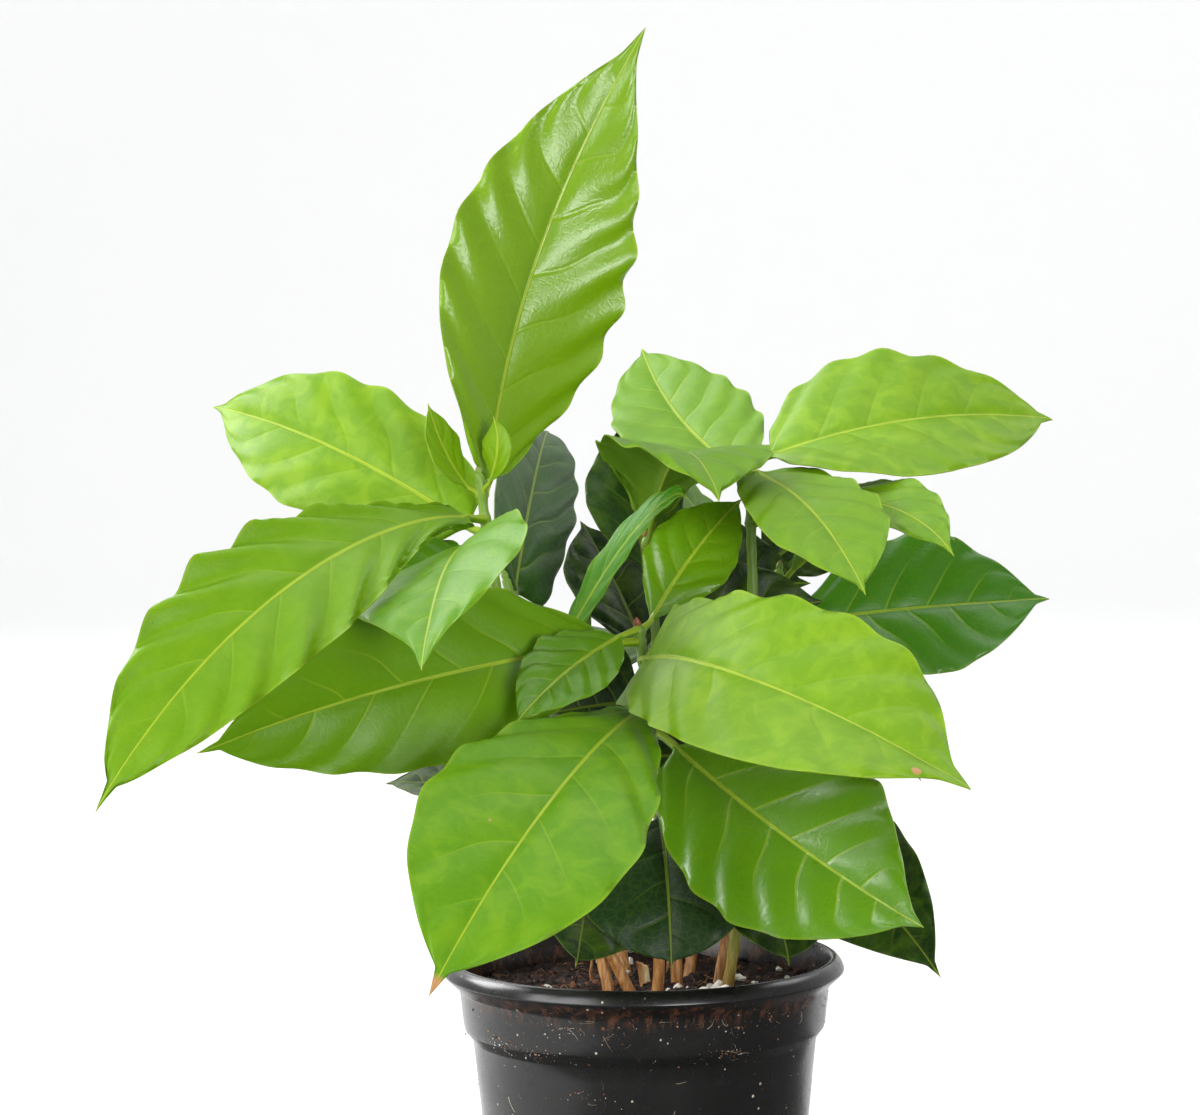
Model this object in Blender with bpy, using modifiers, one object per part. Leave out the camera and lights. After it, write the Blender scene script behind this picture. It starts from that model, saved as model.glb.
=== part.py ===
"""Potted coffee plant: eight coffee seedlings standing in a round black nursery pot.

Metres, +Z up. The origin is on the pot's axis, on its flat underside, and -Y is the
front. The sizes below are in millimetres and degrees, and MM turns them into metres.
"""

import math

import bmesh
import bpy
import numpy as np

MM = 0.001
CLEARANCE = 0.35

# Pot: a turned shell with a sloped lip, a straight collar and a tapered body
RIM_RADIUS = 55.0
POT_HEIGHT = 93.0
LIP_EDGE_Z = 89.2
LIP_FOOT_Z = 85.2
COLLAR_TOP_RADIUS = 50.6
COLLAR_FOOT_RADIUS = 49.7
COLLAR_FOOT_Z = 73.4
BODY_TOP_RADIUS = 47.1
BODY_TOP_Z = 70.6
BASE_RADIUS = 40.2
BASE_ROUND = 1.5
WALL = 1.6
FLOOR = 2.0
ROUND_STEPS = 36
DRAIN_HOLES = 6
DRAIN_RADIUS = 4.5
DRAIN_CIRCLE = 27.0

# Soil: it fills the pot to a few millimetres under the lip
SOIL_Z = 84.0
SOIL_BUMP = 0.9
SOIL_RINGS = (0.16, 0.36, 0.56, 0.76, 0.9, 1.0)
HOLE_ROOM = 0.5

# Stems: curves from the soil to their tops, straight below the soil
STEM_FOOT_Z = 67.0
STEM_FOOT_RADIUS = 1.6
STEM_TOP_RADIUS = 1.3
STEM_STEP = 22.0
STEMS = {
    "a": ((-4.5, -5, 85), (-35, -8, 148), (-43, -15, 228)),
    "b": ((3.5, -12, 85), (7, -17, 135), (-1, -30, 188)),
    "c": ((23, -2, 85), (33, -4, 140), (30, 0, 231)),
    "d": ((-10, -3, 85), (-18, 3, 125), (-37, 14, 197)),
    "e": ((9, 7, 85), (9, 8, 135), (2, 12, 208)),
    "f": ((21, 9, 85), (30, 14, 135), (39, 20, 198)),
    "g": ((-5, 22, 85), (-14, 34, 130), (-15, 45, 194)),
    "h": ((13, 22, 85), (20, 34, 130), (30, 46, 196)),
}
NODE_SWELLING = 0.35
NODE_REACH = 2.5
NODE_APART = 6.0
STUB = ((1, 10, 67), (0.9, 10, 85), (-0.8, 9.6, 90))
STUB_RADIUS = 1.5

# Leaves: a round stalk that runs out into a long, waved blade with a drawn-out tip
STALK_RADIUS = 1.1
BLADE_THICKNESS = 0.75
RIDGE = 0.6
TIP_HALF_WIDTH = 0.6
BODY_SHARE = 0.95
TIP_SHARE = 0.2
TIP_BLEND = 3.0
WAVE_RISE = 1.6
WAVE_STRETCH = 0.025
ACROSS = np.array([-1.0, -0.5, 0.0, 0.5, 1.0])


def leaf(stem, z, heading, pitch, length, width, **form):
    """One leaf's design: where it leaves its stem, where it points and its size.

    z is the height of its node, heading its compass turn from +X and pitch its climb.
    droop and sweep are how far the pitch falls and the heading turns up to the tip, and
    bend puts that change late. roll and twist turn the blade about its midrib, fold lifts
    its halves, curl rolls its edges down, wave is the height of the edge's waves, peak is
    where the blade is widest, full and root shape its outer and inner halves, and tip is
    how wide the drawn-out tip starts.
    """
    usual = {
        "droop": 0, "sweep": 0, "bend": 1.0, "roll": 0, "twist": 0, "fold": 12,
        "curl": 0.12, "wave": 1.0, "waves": 6, "peak": 0.45, "full": 0.9, "tip": 0.25,
        "stalk": 7, "age": 0.5,
    }
    sizes = {
        "stem": stem, "z": z, "heading": heading, "pitch": pitch, "length": length,
        "width": width, "root": form.get("full", 0.9),
    }
    return {**usual, **sizes, **form}


LEAVES = {
    "a1": leaf("a", 116, -84, 6, 54, 36, droop=44, sweep=-16, roll=30, wave=0.5, waves=5,
               full=0.62, tip=0.12, age=1.0),
    "a2": leaf("a", 128, 222, 22, 47, 30, droop=58, roll=20, wave=0.5, waves=5, age=0.95),
    "a3": leaf("a", 140, 190, 10, 35, 30, droop=15, sweep=-25, roll=15, wave=0.5, waves=5,
               age=0.95),
    "a4": leaf("a", 202, 212, 3, 36, 23, droop=20, roll=46, wave=0.4, waves=5, root=0.4,
               stalk=2.5, age=0.45),
    "a5": leaf("a", 206, -106, 20, 93, 51, droop=54, sweep=12, bend=0.55, roll=-33, twist=19,
               wave=0.5, peak=0.52, full=1.55, root=1.0, age=0.2),
    "a6": leaf("a", 215, 240, 8, 157, 41, droop=63, sweep=-25, bend=0.9, roll=31, twist=12,
               fold=10, wave=2.0, waves=8, peak=0.54, full=0.69, root=1.1, age=0.15),
    "a7": leaf("a", 211, 157, 32, 103, 41, droop=30, sweep=-33, roll=47, twist=16, wave=0.5,
               peak=0.46, full=0.83, root=0.36, stalk=3, age=0.1),
    "a8": leaf("a", 222, 63, 76, 132, 55, droop=17, sweep=-77, roll=-83, twist=-8, wave=1.0,
               waves=8, peak=0.4, full=1.0, root=0.98, stalk=3, age=0.05),
    "a9": leaf("a", 222, 205, 52, 26, 12, droop=-23, sweep=11, roll=48, twist=48, wave=0.3,
               waves=3, stalk=2, age=0.05),
    "a10": leaf("a", 223, -54, 57, 19, 10, droop=-52, sweep=54, roll=-65, twist=-29, wave=0.2,
                waves=3, stalk=2, age=0.05),
    "b1": leaf("b", 138, -86, -20, 49, 46, droop=60, roll=-10, wave=0.5, waves=5, peak=0.55,
               full=0.55, tip=0.1, age=1.0),
    "b2": leaf("b", 158, -45, -29, 114, 54, droop=-23, sweep=-22, roll=-37, twist=-23, wave=0.5,
               waves=7, peak=0.43, full=1.05, root=0.65, age=0.45),
    "b3": leaf("b", 164, -101, 6, 142, 56, droop=55, sweep=-29, bend=0.85, roll=6, twist=32,
               wave=0.5, waves=7, peak=0.6, full=0.82, root=0.84, age=0.3),
    "b4": leaf("b", 178, -80, 11, 133, 52, droop=42, sweep=61, roll=-58, twist=41, wave=0.7,
               waves=7, peak=0.64, full=0.8, root=0.4, tip=0.6, stalk=4, age=0.1),
    "b5": leaf("b", 183, 206, -3, 120, 46, droop=14, sweep=1, roll=46, twist=70, wave=0.5,
               waves=7, peak=0.42, full=0.66, root=0.83, age=0.5),
    "b6": leaf("b", 186, 37, 55, 45, 24, droop=24, sweep=6, roll=-35, twist=-11, wave=0.4,
               full=0.78, root=1.2, stalk=3, age=0.3),
    "b7": leaf("b", 186, 229, -12, 48, 23, droop=23, sweep=3, roll=32, twist=-9, wave=0.4,
               stalk=5, age=0.35),
    "c1": leaf("c", 118, -79, 5, 54, 37, droop=50, sweep=-3, wave=0.5, waves=5, full=0.58,
               tip=0.12, age=1.0),
    "c2": leaf("c", 125, -64, 8, 94, 36, droop=46, sweep=6, roll=-46, wave=0.5, full=0.8,
               age=0.9),
    "c3": leaf("c", 163, -60, 18, 83, 34, droop=55, sweep=-6, roll=-20, wave=0.5, age=0.9),
    "c4": leaf("c", 212, -37, 21, 73, 28, droop=53, sweep=-29, roll=-6, twist=-17, wave=0.5,
               peak=0.41, age=0.2),
    "c5": leaf("c", 225, 116, 15, 85, 39, droop=-10, sweep=-17, roll=13, twist=9, wave=0.4,
               peak=0.36, full=0.65, root=0.78, age=0.2),
    "c6": leaf("c", 226, -69, -4, 84, 34, droop=28, sweep=-6, roll=-9, wave=0.6, peak=0.53,
               full=0.85, root=0.4, stalk=4, age=0.15),
    "c7": leaf("c", 229, 4, 20, 86, 60, droop=30, sweep=27, roll=-16, twist=-33, wave=0.5,
               peak=0.34, full=0.74, root=0.94, stalk=3, age=0.1),
    "c8": leaf("c", 148, 182, 4, 29, 34, droop=10, roll=74, wave=0.4, waves=4, stalk=5,
               age=1.0),
    "d1": leaf("d", 168, -29, 58, 79, 15, droop=71, sweep=-63, bend=2.7, roll=-53, wave=0.3,
               stalk=8, age=0.5),
    "d2": leaf("d", 190, 81, 44, 104, 30, droop=43, sweep=7, roll=-66, twist=45, wave=0.4,
               peak=0.32, full=0.5, root=0.28, stalk=2.5, age=0.9),
    "e1": leaf("e", 162, 196, 2, 26, 36, droop=12, roll=70, wave=0.5, waves=5, root=0.4,
               tip=0.15, stalk=3, age=1.0),
    "e2": leaf("e", 170, 128, 58, 44, 36, droop=15, wave=0.5, waves=5, age=0.95),
    "e3": leaf("e", 178, -2, 20, 40, 29, droop=12, roll=-76, wave=0.4, waves=4, stalk=5,
               age=1.0),
    "e4": leaf("e", 192, 104, 58, 48, 28, droop=10, wave=0.5, waves=5, age=0.85),
    "e5": leaf("e", 205, -71, 78, 75, 47, droop=116, sweep=-6, bend=0.7, roll=2, twist=7,
               wave=1.2, peak=0.52, full=0.95, age=0.2),
    "f1": leaf("f", 182, 12, 6, 70, 45, droop=5, sweep=-7, roll=-53, wave=0.5, peak=0.49,
               full=0.83, root=0.7, age=0.75),
    "f2": leaf("f", 194, -60, 35, 44, 18, droop=40, roll=-20, wave=0.4, waves=4, age=0.4),
    "g1": leaf("g", 120, 100, 10, 80, 38, droop=60, wave=0.6, waves=5, age=1.0),
    "g2": leaf("g", 148, 150, 15, 84, 42, droop=50, roll=20, wave=0.6, age=0.9),
    "g3": leaf("g", 160, 80, 25, 95, 42, droop=55, wave=0.7, age=0.85),
    "g4": leaf("g", 184, -14, 14, 56, 42, droop=14, roll=-72, wave=0.6, age=0.95),
    "g5": leaf("g", 192, 10, 46, 24, 16, droop=20, wave=0.4, waves=4, stalk=5, age=0.25),
    "h1": leaf("h", 118, 50, 10, 76, 38, droop=60, wave=0.6, waves=5, age=1.0),
    "h2": leaf("h", 146, 48, 15, 78, 40, droop=55, roll=-10, wave=0.6, age=0.9),
    "h3": leaf("h", 150, 115, 10, 90, 42, droop=60, wave=0.7, age=0.8),
    "h4": leaf("h", 192, 2, 42, 33, 26, droop=22, roll=-66, wave=0.5, waves=5, stalk=5,
               age=0.95),
    "h5": leaf("h", 194, 150, 60, 42, 18, droop=30, wave=0.4, waves=4, stalk=5, age=0.25),
}

# Colours, linear
POT_BLACK = (0.022, 0.021, 0.020)
SOIL_BROWN = (0.026, 0.017, 0.013)
STEM_BROWN = (0.22, 0.11, 0.03)
STUB_CREAM = (0.5, 0.4, 0.24)
YOUNG_GREEN = (0.22, 0.42, 0.03)
OLD_GREEN = (0.03, 0.09, 0.025)


def clear_scene():
    for old in list(bpy.data.objects):
        bpy.data.objects.remove(old, do_unlink=True)


def new_collection(name):
    collection = bpy.data.collections.new(name)
    bpy.context.scene.collection.children.link(collection)
    return collection


def new_material(name, colour, roughness):
    material = bpy.data.materials.new(name)
    material.use_nodes = True
    shader = material.node_tree.nodes["Principled BSDF"]
    shader.inputs["Base Color"].default_value = (*colour, 1.0)
    shader.inputs["Roughness"].default_value = roughness
    shader.inputs["Metallic"].default_value = 0.0
    return material


def add_object(name, data, collection, material=None):
    new = bpy.data.objects.new(name, data)
    collection.objects.link(new)
    if material:
        data.materials.append(material)
    return new


def mesh_from(name, points, faces):
    """A mesh from points in millimetres."""
    mesh = bpy.data.meshes.new(name)
    mesh.from_pydata([tuple(point) for point in np.asarray(points) * MM], [], faces)
    mesh.update()
    return mesh


def smooth(mesh, angle=40):
    mesh.shade_smooth()
    mesh.set_sharp_from_angle(angle=math.radians(angle))


# Pot

def outer_wall():
    """Radius and height down the outside of the pot, from the lip's crown to the base."""
    return [
        (RIM_RADIUS - 2.9, POT_HEIGHT),
        (RIM_RADIUS - 1.7, POT_HEIGHT - 0.5),
        (RIM_RADIUS - 0.7, POT_HEIGHT - 1.7),
        (RIM_RADIUS, LIP_EDGE_Z + 0.4),
        (RIM_RADIUS - 0.4, LIP_EDGE_Z - 0.5),
        (COLLAR_TOP_RADIUS + 0.8, LIP_FOOT_Z + 0.5),
        (COLLAR_TOP_RADIUS, LIP_FOOT_Z - 0.5),
        (COLLAR_FOOT_RADIUS, COLLAR_FOOT_Z + 0.9),
        (COLLAR_FOOT_RADIUS - 0.7, COLLAR_FOOT_Z),
        (BODY_TOP_RADIUS + 0.3, BODY_TOP_Z + 0.6),
        (BODY_TOP_RADIUS, BODY_TOP_Z),
        (BASE_RADIUS, BASE_ROUND),
        (BASE_RADIUS - 0.5, 0.45),
        (BASE_RADIUS - BASE_ROUND, 0.0),
    ]


def inner_wall():
    """Radius and height down the inside, from the lip to the floor."""
    return [
        (RIM_RADIUS - 3.8, POT_HEIGHT - 0.5),
        (COLLAR_TOP_RADIUS - WALL, LIP_FOOT_Z + 0.6),
        (COLLAR_FOOT_RADIUS - WALL, COLLAR_FOOT_Z + 0.6),
        (BODY_TOP_RADIUS - WALL, BODY_TOP_Z - 0.8),
        (BASE_RADIUS - WALL + 0.2, FLOOR + 1.2),
        (BASE_RADIUS - WALL - 1.0, FLOOR),
    ]


def turned(name, profile, material, collection):
    """A closed profile from axis to axis, turned once about Z."""
    points = [(radius, 0.0, z) for radius, z in profile]
    edges = [(k, k + 1) for k in range(len(points) - 1)]
    mesh = bpy.data.meshes.new(name)
    mesh.from_pydata([tuple(v * MM for v in point) for point in points], edges, [])
    made = add_object(name, mesh, collection, material)
    screw = made.modifiers.new("Turn", "SCREW")
    screw.steps = ROUND_STEPS
    screw.render_steps = ROUND_STEPS
    screw.use_merge_vertices = True
    screw.merge_threshold = 0.00002
    screw.use_smooth_shade = True
    return made


def drain_cutter(collection):
    """Six upright cylinders through the floor, in one mesh."""
    mesh = bpy.data.meshes.new("drain_cutter")
    bm = bmesh.new()
    for k in range(DRAIN_HOLES):
        angle = math.tau * (k + 0.5) / DRAIN_HOLES
        made = bmesh.ops.create_cone(
            bm, cap_ends=True, segments=16, radius1=DRAIN_RADIUS * MM,
            radius2=DRAIN_RADIUS * MM, depth=3 * FLOOR * MM,
        )
        place = (
            DRAIN_CIRCLE * math.cos(angle) * MM, DRAIN_CIRCLE * math.sin(angle) * MM,
            FLOOR / 2 * MM,
        )
        bmesh.ops.translate(bm, vec=place, verts=made["verts"])
    bm.to_mesh(mesh)
    bm.free()
    return as_cutter(add_object("drain_cutter", mesh, collection))


def as_cutter(made):
    made.hide_render = True
    made.display_type = "WIRE"
    return made


def cut(target, cutter):
    boolean = target.modifiers.new(cutter.name, "BOOLEAN")
    boolean.operation = "DIFFERENCE"
    boolean.object = cutter
    boolean.solver = "EXACT"


def make_pot(collection, cutters):
    material = new_material("pot_plastic", POT_BLACK, 0.35)
    profile = [(0.0, FLOOR), *reversed(inner_wall()), *outer_wall(), (0.0, 0.0)]
    pot = turned("pot", profile, material, collection)
    cut(pot, drain_cutter(cutters))


# Soil

def bump(x, y):
    """Height of the soil's crumbs and hollows over its level: crossed slow waves."""
    wave = np.sin(0.23 * x + 0.6) * np.cos(0.19 * y) + 0.6 * np.sin(0.41 * y - 0.33 * x)
    return SOIL_BUMP * wave / 1.6


def soil_mesh():
    """Rings of points from the middle of the underside round and up to the middle of the top."""
    angles = math.tau * np.arange(ROUND_STEPS) / ROUND_STEPS
    wall = [(radius - CLEARANCE, z) for radius, z in reversed(inner_wall()[2:])]
    wall[0] = (wall[0][0], FLOOR + CLEARANCE)
    top_radius = COLLAR_FOOT_RADIUS - WALL
    rings = [(radius, z, 0.0) for radius, z in wall]
    rings += [(top_radius * share, SOIL_Z, 1.0) for share in reversed(SOIL_RINGS)]
    points = [(0.0, 0.0, FLOOR + CLEARANCE)]
    for radius, z, bumped in rings:
        x = radius * np.cos(angles)
        y = radius * np.sin(angles)
        points += list(zip(x, y, z + bumped * bump(x, y)))
    points.append((0.0, 0.0, SOIL_Z + float(bump(0.0, 0.0))))
    faces = []
    for k in range(ROUND_STEPS):
        after = (k + 1) % ROUND_STEPS
        faces.append((0, 1 + after, 1 + k))
        for ring in range(len(rings) - 1):
            low = 1 + ring * ROUND_STEPS
            high = low + ROUND_STEPS
            faces.append((low + k, low + after, high + after, high + k))
        last = 1 + (len(rings) - 1) * ROUND_STEPS
        faces.append((last + k, last + after, len(points) - 1))
    return mesh_from("soil", points, faces)


def stem_hole(name, foot, direction, radius, collection):
    """A cutter along a stem's straight foot, a little wider and deeper than it."""
    depth = 2 * (SOIL_Z - STEM_FOOT_Z)
    start = foot - direction * CLEARANCE
    mesh = bpy.data.meshes.new(name)
    bm = bmesh.new()
    bmesh.ops.create_cone(
        bm, cap_ends=True, segments=12, radius1=(radius + HOLE_ROOM) * MM,
        radius2=(radius + HOLE_ROOM) * MM, depth=depth * MM,
    )
    bmesh.ops.translate(bm, vec=(0, 0, depth / 2 * MM), verts=bm.verts)
    bm.to_mesh(mesh)
    bm.free()
    hole = as_cutter(add_object(name, mesh, collection))
    heading = math.atan2(direction[1], direction[0])
    lean = math.acos(direction[2])
    hole.rotation_euler = (0.0, lean, heading)
    hole.location = tuple(start * MM)
    return hole


# Stems

def stem_line(design, z):
    """A stem's centres at heights z: a quadratic curve, and its tangent below the soil."""
    start, middle, top = (np.array(point, float) for point in design)
    t = np.linspace(0, 1, 60)[:, None]
    curve = (1 - t) ** 2 * start + 2 * t * (1 - t) * middle + t ** 2 * top
    z = np.atleast_1d(np.asarray(z, float))
    under = np.minimum(z - start[2], 0) / (middle[2] - start[2])
    x = np.interp(z, curve[:, 2], curve[:, 0]) + under * (middle[0] - start[0])
    y = np.interp(z, curve[:, 2], curve[:, 1]) + under * (middle[1] - start[1])
    return np.stack([x, y, z], 1)


def stem_radius(design, z):
    share = np.clip((z - design[0][2]) / (design[2][2] - design[0][2]), 0, 1)
    return STEM_FOOT_RADIUS + (STEM_TOP_RADIUS - STEM_FOOT_RADIUS) * share


def tube(name, centres, radii, material, collection):
    """A capped tube on straight runs between centres, with a radius at each."""
    curve = bpy.data.curves.new(name, "CURVE")
    curve.dimensions = "3D"
    curve.bevel_depth = MM
    curve.bevel_resolution = 2
    curve.use_fill_caps = True
    spline = curve.splines.new("POLY")
    spline.points.add(len(centres) - 1)
    for point, centre, radius in zip(spline.points, centres, radii):
        point.co = (*(centre * MM), 1.0)
        point.radius = float(radius)
    return add_object(name, curve, collection, material)


def node_heights(letter):
    """Heights of a stem's nodes, with leaves that share a node counted once."""
    nodes = []
    for z in sorted(design["z"] for design in LEAVES.values() if design["stem"] == letter):
        if not nodes or z - nodes[-1] > 2 * NODE_REACH:
            nodes.append(z)
    return nodes


def make_stem(letter, design, nodes, collection):
    """A seedling's stem, slightly swollen where its leaves leave it."""
    top = design[2][2]
    even = np.arange(design[0][2], top - STEM_STEP / 2, STEM_STEP)
    swollen = [z + side * NODE_REACH for z in nodes for side in (-1, 0, 1)]
    heights = [STEM_FOOT_Z, *[z for z in even if min(abs(z - n) for n in nodes) > NODE_APART]]
    heights = sorted({*heights, *[min(z, top) for z in swollen], top})
    heights = np.array(heights)
    near = np.min(np.abs(heights[:, None] - np.array(nodes)), 1) < 0.1
    radii = stem_radius(design, heights) + NODE_SWELLING * near
    material = new_material(f"stem_bark_{letter}", STEM_BROWN, 0.6)
    tube(f"stem_{letter}", stem_line(design, heights), radii, material, collection)


def make_stub(collection):
    """The cut-off foot of a seedling that was thinned out."""
    heights = np.array([STUB[0][2], STUB[1][2], STUB[2][2]], float)
    radii = [STUB_RADIUS] * len(heights)
    material = new_material("stub_wood", STUB_CREAM, 0.7)
    tube("cut_stub", np.array(STUB, float), radii, material, collection)


def make_soil(collection, cutters):
    material = new_material("soil_peat", SOIL_BROWN, 0.95)
    soil = add_object("soil", soil_mesh(), collection, material)
    smooth(soil.data, 60)
    for letter, design in STEMS.items():
        foot, above = stem_line(design, [STEM_FOOT_Z, STEM_FOOT_Z + 10])
        direction = (above - foot) / np.linalg.norm(above - foot)
        name = f"hole_{letter}"
        cut(soil, stem_hole(name, foot, direction, STEM_FOOT_RADIUS, cutters))
    foot = np.array(STUB[0], float)
    cut(soil, stem_hole("hole_stub", foot, np.array([0.0, 0.0, 1.0]), STUB_RADIUS, cutters))


# Leaves

def half_width(t, design):
    """Half the blade's width at share t of its length: a skewed sine and a drawn-out tip."""
    peak = design["peak"]
    skew = math.log(0.5) / math.log(peak / BODY_SHARE)
    power = np.where(t < peak, design["root"], design["full"])
    arch = np.sin(np.pi * np.clip(t / BODY_SHARE, 0, 1) ** skew)
    body = np.maximum(arch, 0) ** power
    drip = design["tip"] * np.clip((1 - t) / TIP_SHARE, 0, 1)
    return design["width"] / 2 * (body ** TIP_BLEND + drip ** TIP_BLEND) ** (1 / TIP_BLEND)


def turned_about(first, second, angle):
    """Two unit vectors turned in their own plane."""
    turned_first = first * np.cos(angle) + second * np.sin(angle)
    turned_second = second * np.cos(angle) - first * np.sin(angle)
    return turned_first, turned_second


def midrib(design, reach):
    """Centres and the along, across and upward directions at arc lengths from the base."""
    stem = STEMS[design["stem"]]
    length = design["length"]
    fine = np.linspace(-design["stalk"], length, 400)
    t = np.clip(fine / length, 0, 1) ** design["bend"]
    heading = np.radians(design["heading"] + design["sweep"] * t)
    pitch = np.radians(design["pitch"] - design["droop"] * t)
    along = np.stack([
        np.cos(pitch) * np.cos(heading), np.cos(pitch) * np.sin(heading), np.sin(pitch),
    ], 1)
    steps = (along[1:] + along[:-1]) / 2 * np.diff(fine)[:, None]
    out = stem_radius(stem, design["z"]) + NODE_SWELLING + CLEARANCE
    out += STALK_RADIUS * abs(math.sin(pitch[0]))
    outward = np.array([math.cos(heading[0]), math.sin(heading[0]), 0.0])
    start = stem_line(stem, design["z"])[0] + out * outward
    centres = start + np.vstack([np.zeros(3), np.cumsum(steps, 0)])
    across = np.stack([np.sin(heading), -np.cos(heading), 0 * heading], 1)

    def at(values):
        return np.stack([np.interp(reach, fine, values[:, k]) for k in range(3)], 1)

    centres, along, across = at(centres), at(along), at(across)
    along /= np.linalg.norm(along, axis=1)[:, None]
    across /= np.linalg.norm(across, axis=1)[:, None]
    upward = np.cross(across, along)
    share = np.clip(reach / length, 0, 1)
    roll = np.radians(design["roll"] + design["twist"] * share)[:, None]
    across, upward = turned_about(across, upward, roll)
    return centres, along, across, upward


def blade_section(design, t):
    """Sideways and upward offsets of the blade's middle at share t: fold, curl and waves."""
    side = np.abs(ACROSS)
    width = max(float(half_width(np.array(t), design)), TIP_HALF_WIDTH)
    waves = design["waves"]
    phase = waves * (t - 0.5 * side / waves) + np.where(ACROSS < 0, 0.5, 0.0)
    calm_ends = max(math.sin(math.pi * t ** 0.8), 0.0) ** 0.7
    ripple = np.cos(math.tau * phase) * side ** WAVE_RISE * calm_ends
    fold = math.tan(math.radians(design["fold"]))
    lift = width * (side * fold - design["curl"] * side ** 2) + design["wave"] * ripple
    return ACROSS * width * (1 + WAVE_STRETCH * ripple), lift


def leaf_sections(design):
    """Offsets (sideways, upward) of each section's ten points, and where each section is.

    Five points go over the top from one edge to the other, and five come back below. The
    stalk's sections are round, and the blade's lie on the crests and troughs of its waves.
    """
    angles = np.radians([162, 126, 90, 54, 18, -18, -54, -90, -126, -162])
    round_ring = STALK_RADIUS * np.stack([np.cos(angles), np.sin(angles)], 1)
    stalk = design["stalk"]
    sections = [(-stalk, round_ring), (0.0, round_ring)]
    steps = 2 * design["waves"]
    for k in range(1, steps + 1):
        t = k / steps
        sideways, lift = blade_section(design, t)
        half = BLADE_THICKNESS / 2
        ridge = np.where(ACROSS == 0, RIDGE * (1 - t), 0.0)
        top = np.stack([sideways, lift + half], 1)
        bottom = np.stack([sideways, lift - half - ridge], 1)[::-1]
        sections.append((t * design["length"], np.vstack([top, bottom])))
    return sections


def leaf_mesh(name, design):
    """A loft through the leaf's sections, split into triangles alike on both faces."""
    sections = leaf_sections(design)
    reach = np.array([where for where, _ in sections])
    centres, _, across, upward = midrib(design, reach)
    rings = []
    for k, (_, ring) in enumerate(sections):
        rings.append(centres[k] + ring[:, :1] * across[k] + ring[:, 1:] * upward[k])
    count = len(rings[0])
    last = (len(rings) - 1) * count
    points = [*np.vstack(rings), rings[0].mean(0), rings[-1].mean(0)]
    faces = []
    for k in range(count):
        after = (k + 1) % count
        faces.append((after, k, last + count))
        faces.append((last + k, last + after, last + count + 1))
        below = k > 4
        for low in range(0, last, count):
            a, b = low + k, low + after
            d, c = a + count, b + count
            faces += [(a, b, d), (b, c, d)] if below else [(a, b, c), (a, c, d)]
    return mesh_from(name, points, faces)


def make_leaf(label, design, collection):
    name = f"leaf_{label}"
    age = design["age"]
    colour = [young + (old - young) * age for young, old in zip(YOUNG_GREEN, OLD_GREEN)]
    mesh = leaf_mesh(name, design)
    smooth(mesh, 50)
    add_object(name, mesh, collection, new_material(f"{name}_green", colour, 0.4))


def main():
    clear_scene()
    plant = new_collection("potted_coffee_plant")
    cutters = new_collection("cutters")
    make_pot(plant, cutters)
    make_soil(plant, cutters)
    make_stub(plant)
    for letter, design in STEMS.items():
        make_stem(letter, design, node_heights(letter), plant)
    for label, design in LEAVES.items():
        make_leaf(label, design, plant)


if __name__ == "__main__":
    main()
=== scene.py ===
"""Potted coffee plant: the finish of every piece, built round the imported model.

Metres and +Z up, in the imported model's own frame: the origin is on the pot's axis, on its
flat underside, and -Y is the front. Shapes are worked out in millimetres and degrees, with
the sizes of the model's source, and MM turns them into metres.
"""

import math
from functools import partial

import bpy
import numpy as np
from mathutils import Matrix, Vector


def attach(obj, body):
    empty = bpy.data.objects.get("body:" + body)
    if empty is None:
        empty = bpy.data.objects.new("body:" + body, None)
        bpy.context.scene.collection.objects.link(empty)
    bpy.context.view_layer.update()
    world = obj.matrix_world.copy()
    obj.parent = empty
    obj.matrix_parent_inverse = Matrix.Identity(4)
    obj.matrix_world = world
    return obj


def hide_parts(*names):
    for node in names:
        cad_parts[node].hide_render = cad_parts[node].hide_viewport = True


bl_info = {
    "name": "Potted coffee plant",
    "version": (1, 0, 0),
    "blender": (4, 5, 0),
    "location": "3D View > Sidebar > Coffee plant",
    "description": "Builds a pot of coffee seedlings piece by piece",
    "category": "Add Mesh",
}

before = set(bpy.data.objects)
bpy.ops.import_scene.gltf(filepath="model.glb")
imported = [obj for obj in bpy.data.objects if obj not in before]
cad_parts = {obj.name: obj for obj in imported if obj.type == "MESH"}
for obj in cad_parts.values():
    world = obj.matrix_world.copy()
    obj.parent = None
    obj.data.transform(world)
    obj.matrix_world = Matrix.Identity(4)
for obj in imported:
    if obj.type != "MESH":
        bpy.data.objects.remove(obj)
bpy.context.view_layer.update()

MM = 0.001
TAU = math.tau
SEED = 7

# The Mix node's two colour sockets, and its settings for colours
MIX_A, MIX_B = 6, 7
OF_COLOURS = {"out": 2, "data_type": "RGBA"}

# Pot, as in the model
RIM_RADIUS = 55.0
POT_HEIGHT = 93.0
LIP_EDGE_Z = 89.2
LIP_FOOT_Z = 85.2
COLLAR_TOP_RADIUS = 50.6
COLLAR_FOOT_RADIUS = 49.7
COLLAR_FOOT_Z = 73.4
BODY_TOP_RADIUS = 47.1
BODY_TOP_Z = 70.6
BASE_RADIUS = 40.2
BASE_ROUND = 1.5
WALL = 1.6
FLOOR = 2.0
DRAIN_HOLES = 6
DRAIN_RADIUS = 4.5
DRAIN_CIRCLE = 27.0
POT_STEPS = 192

# Soil, as in the model, with a finer top
SOIL_Z = 84.0
SOIL_BUMP = 0.9
SOIL_REACH = 48.6
SOIL_STEPS = 180
SOIL_ROWS = 70
SOIL_GAP = 0.15
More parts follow.
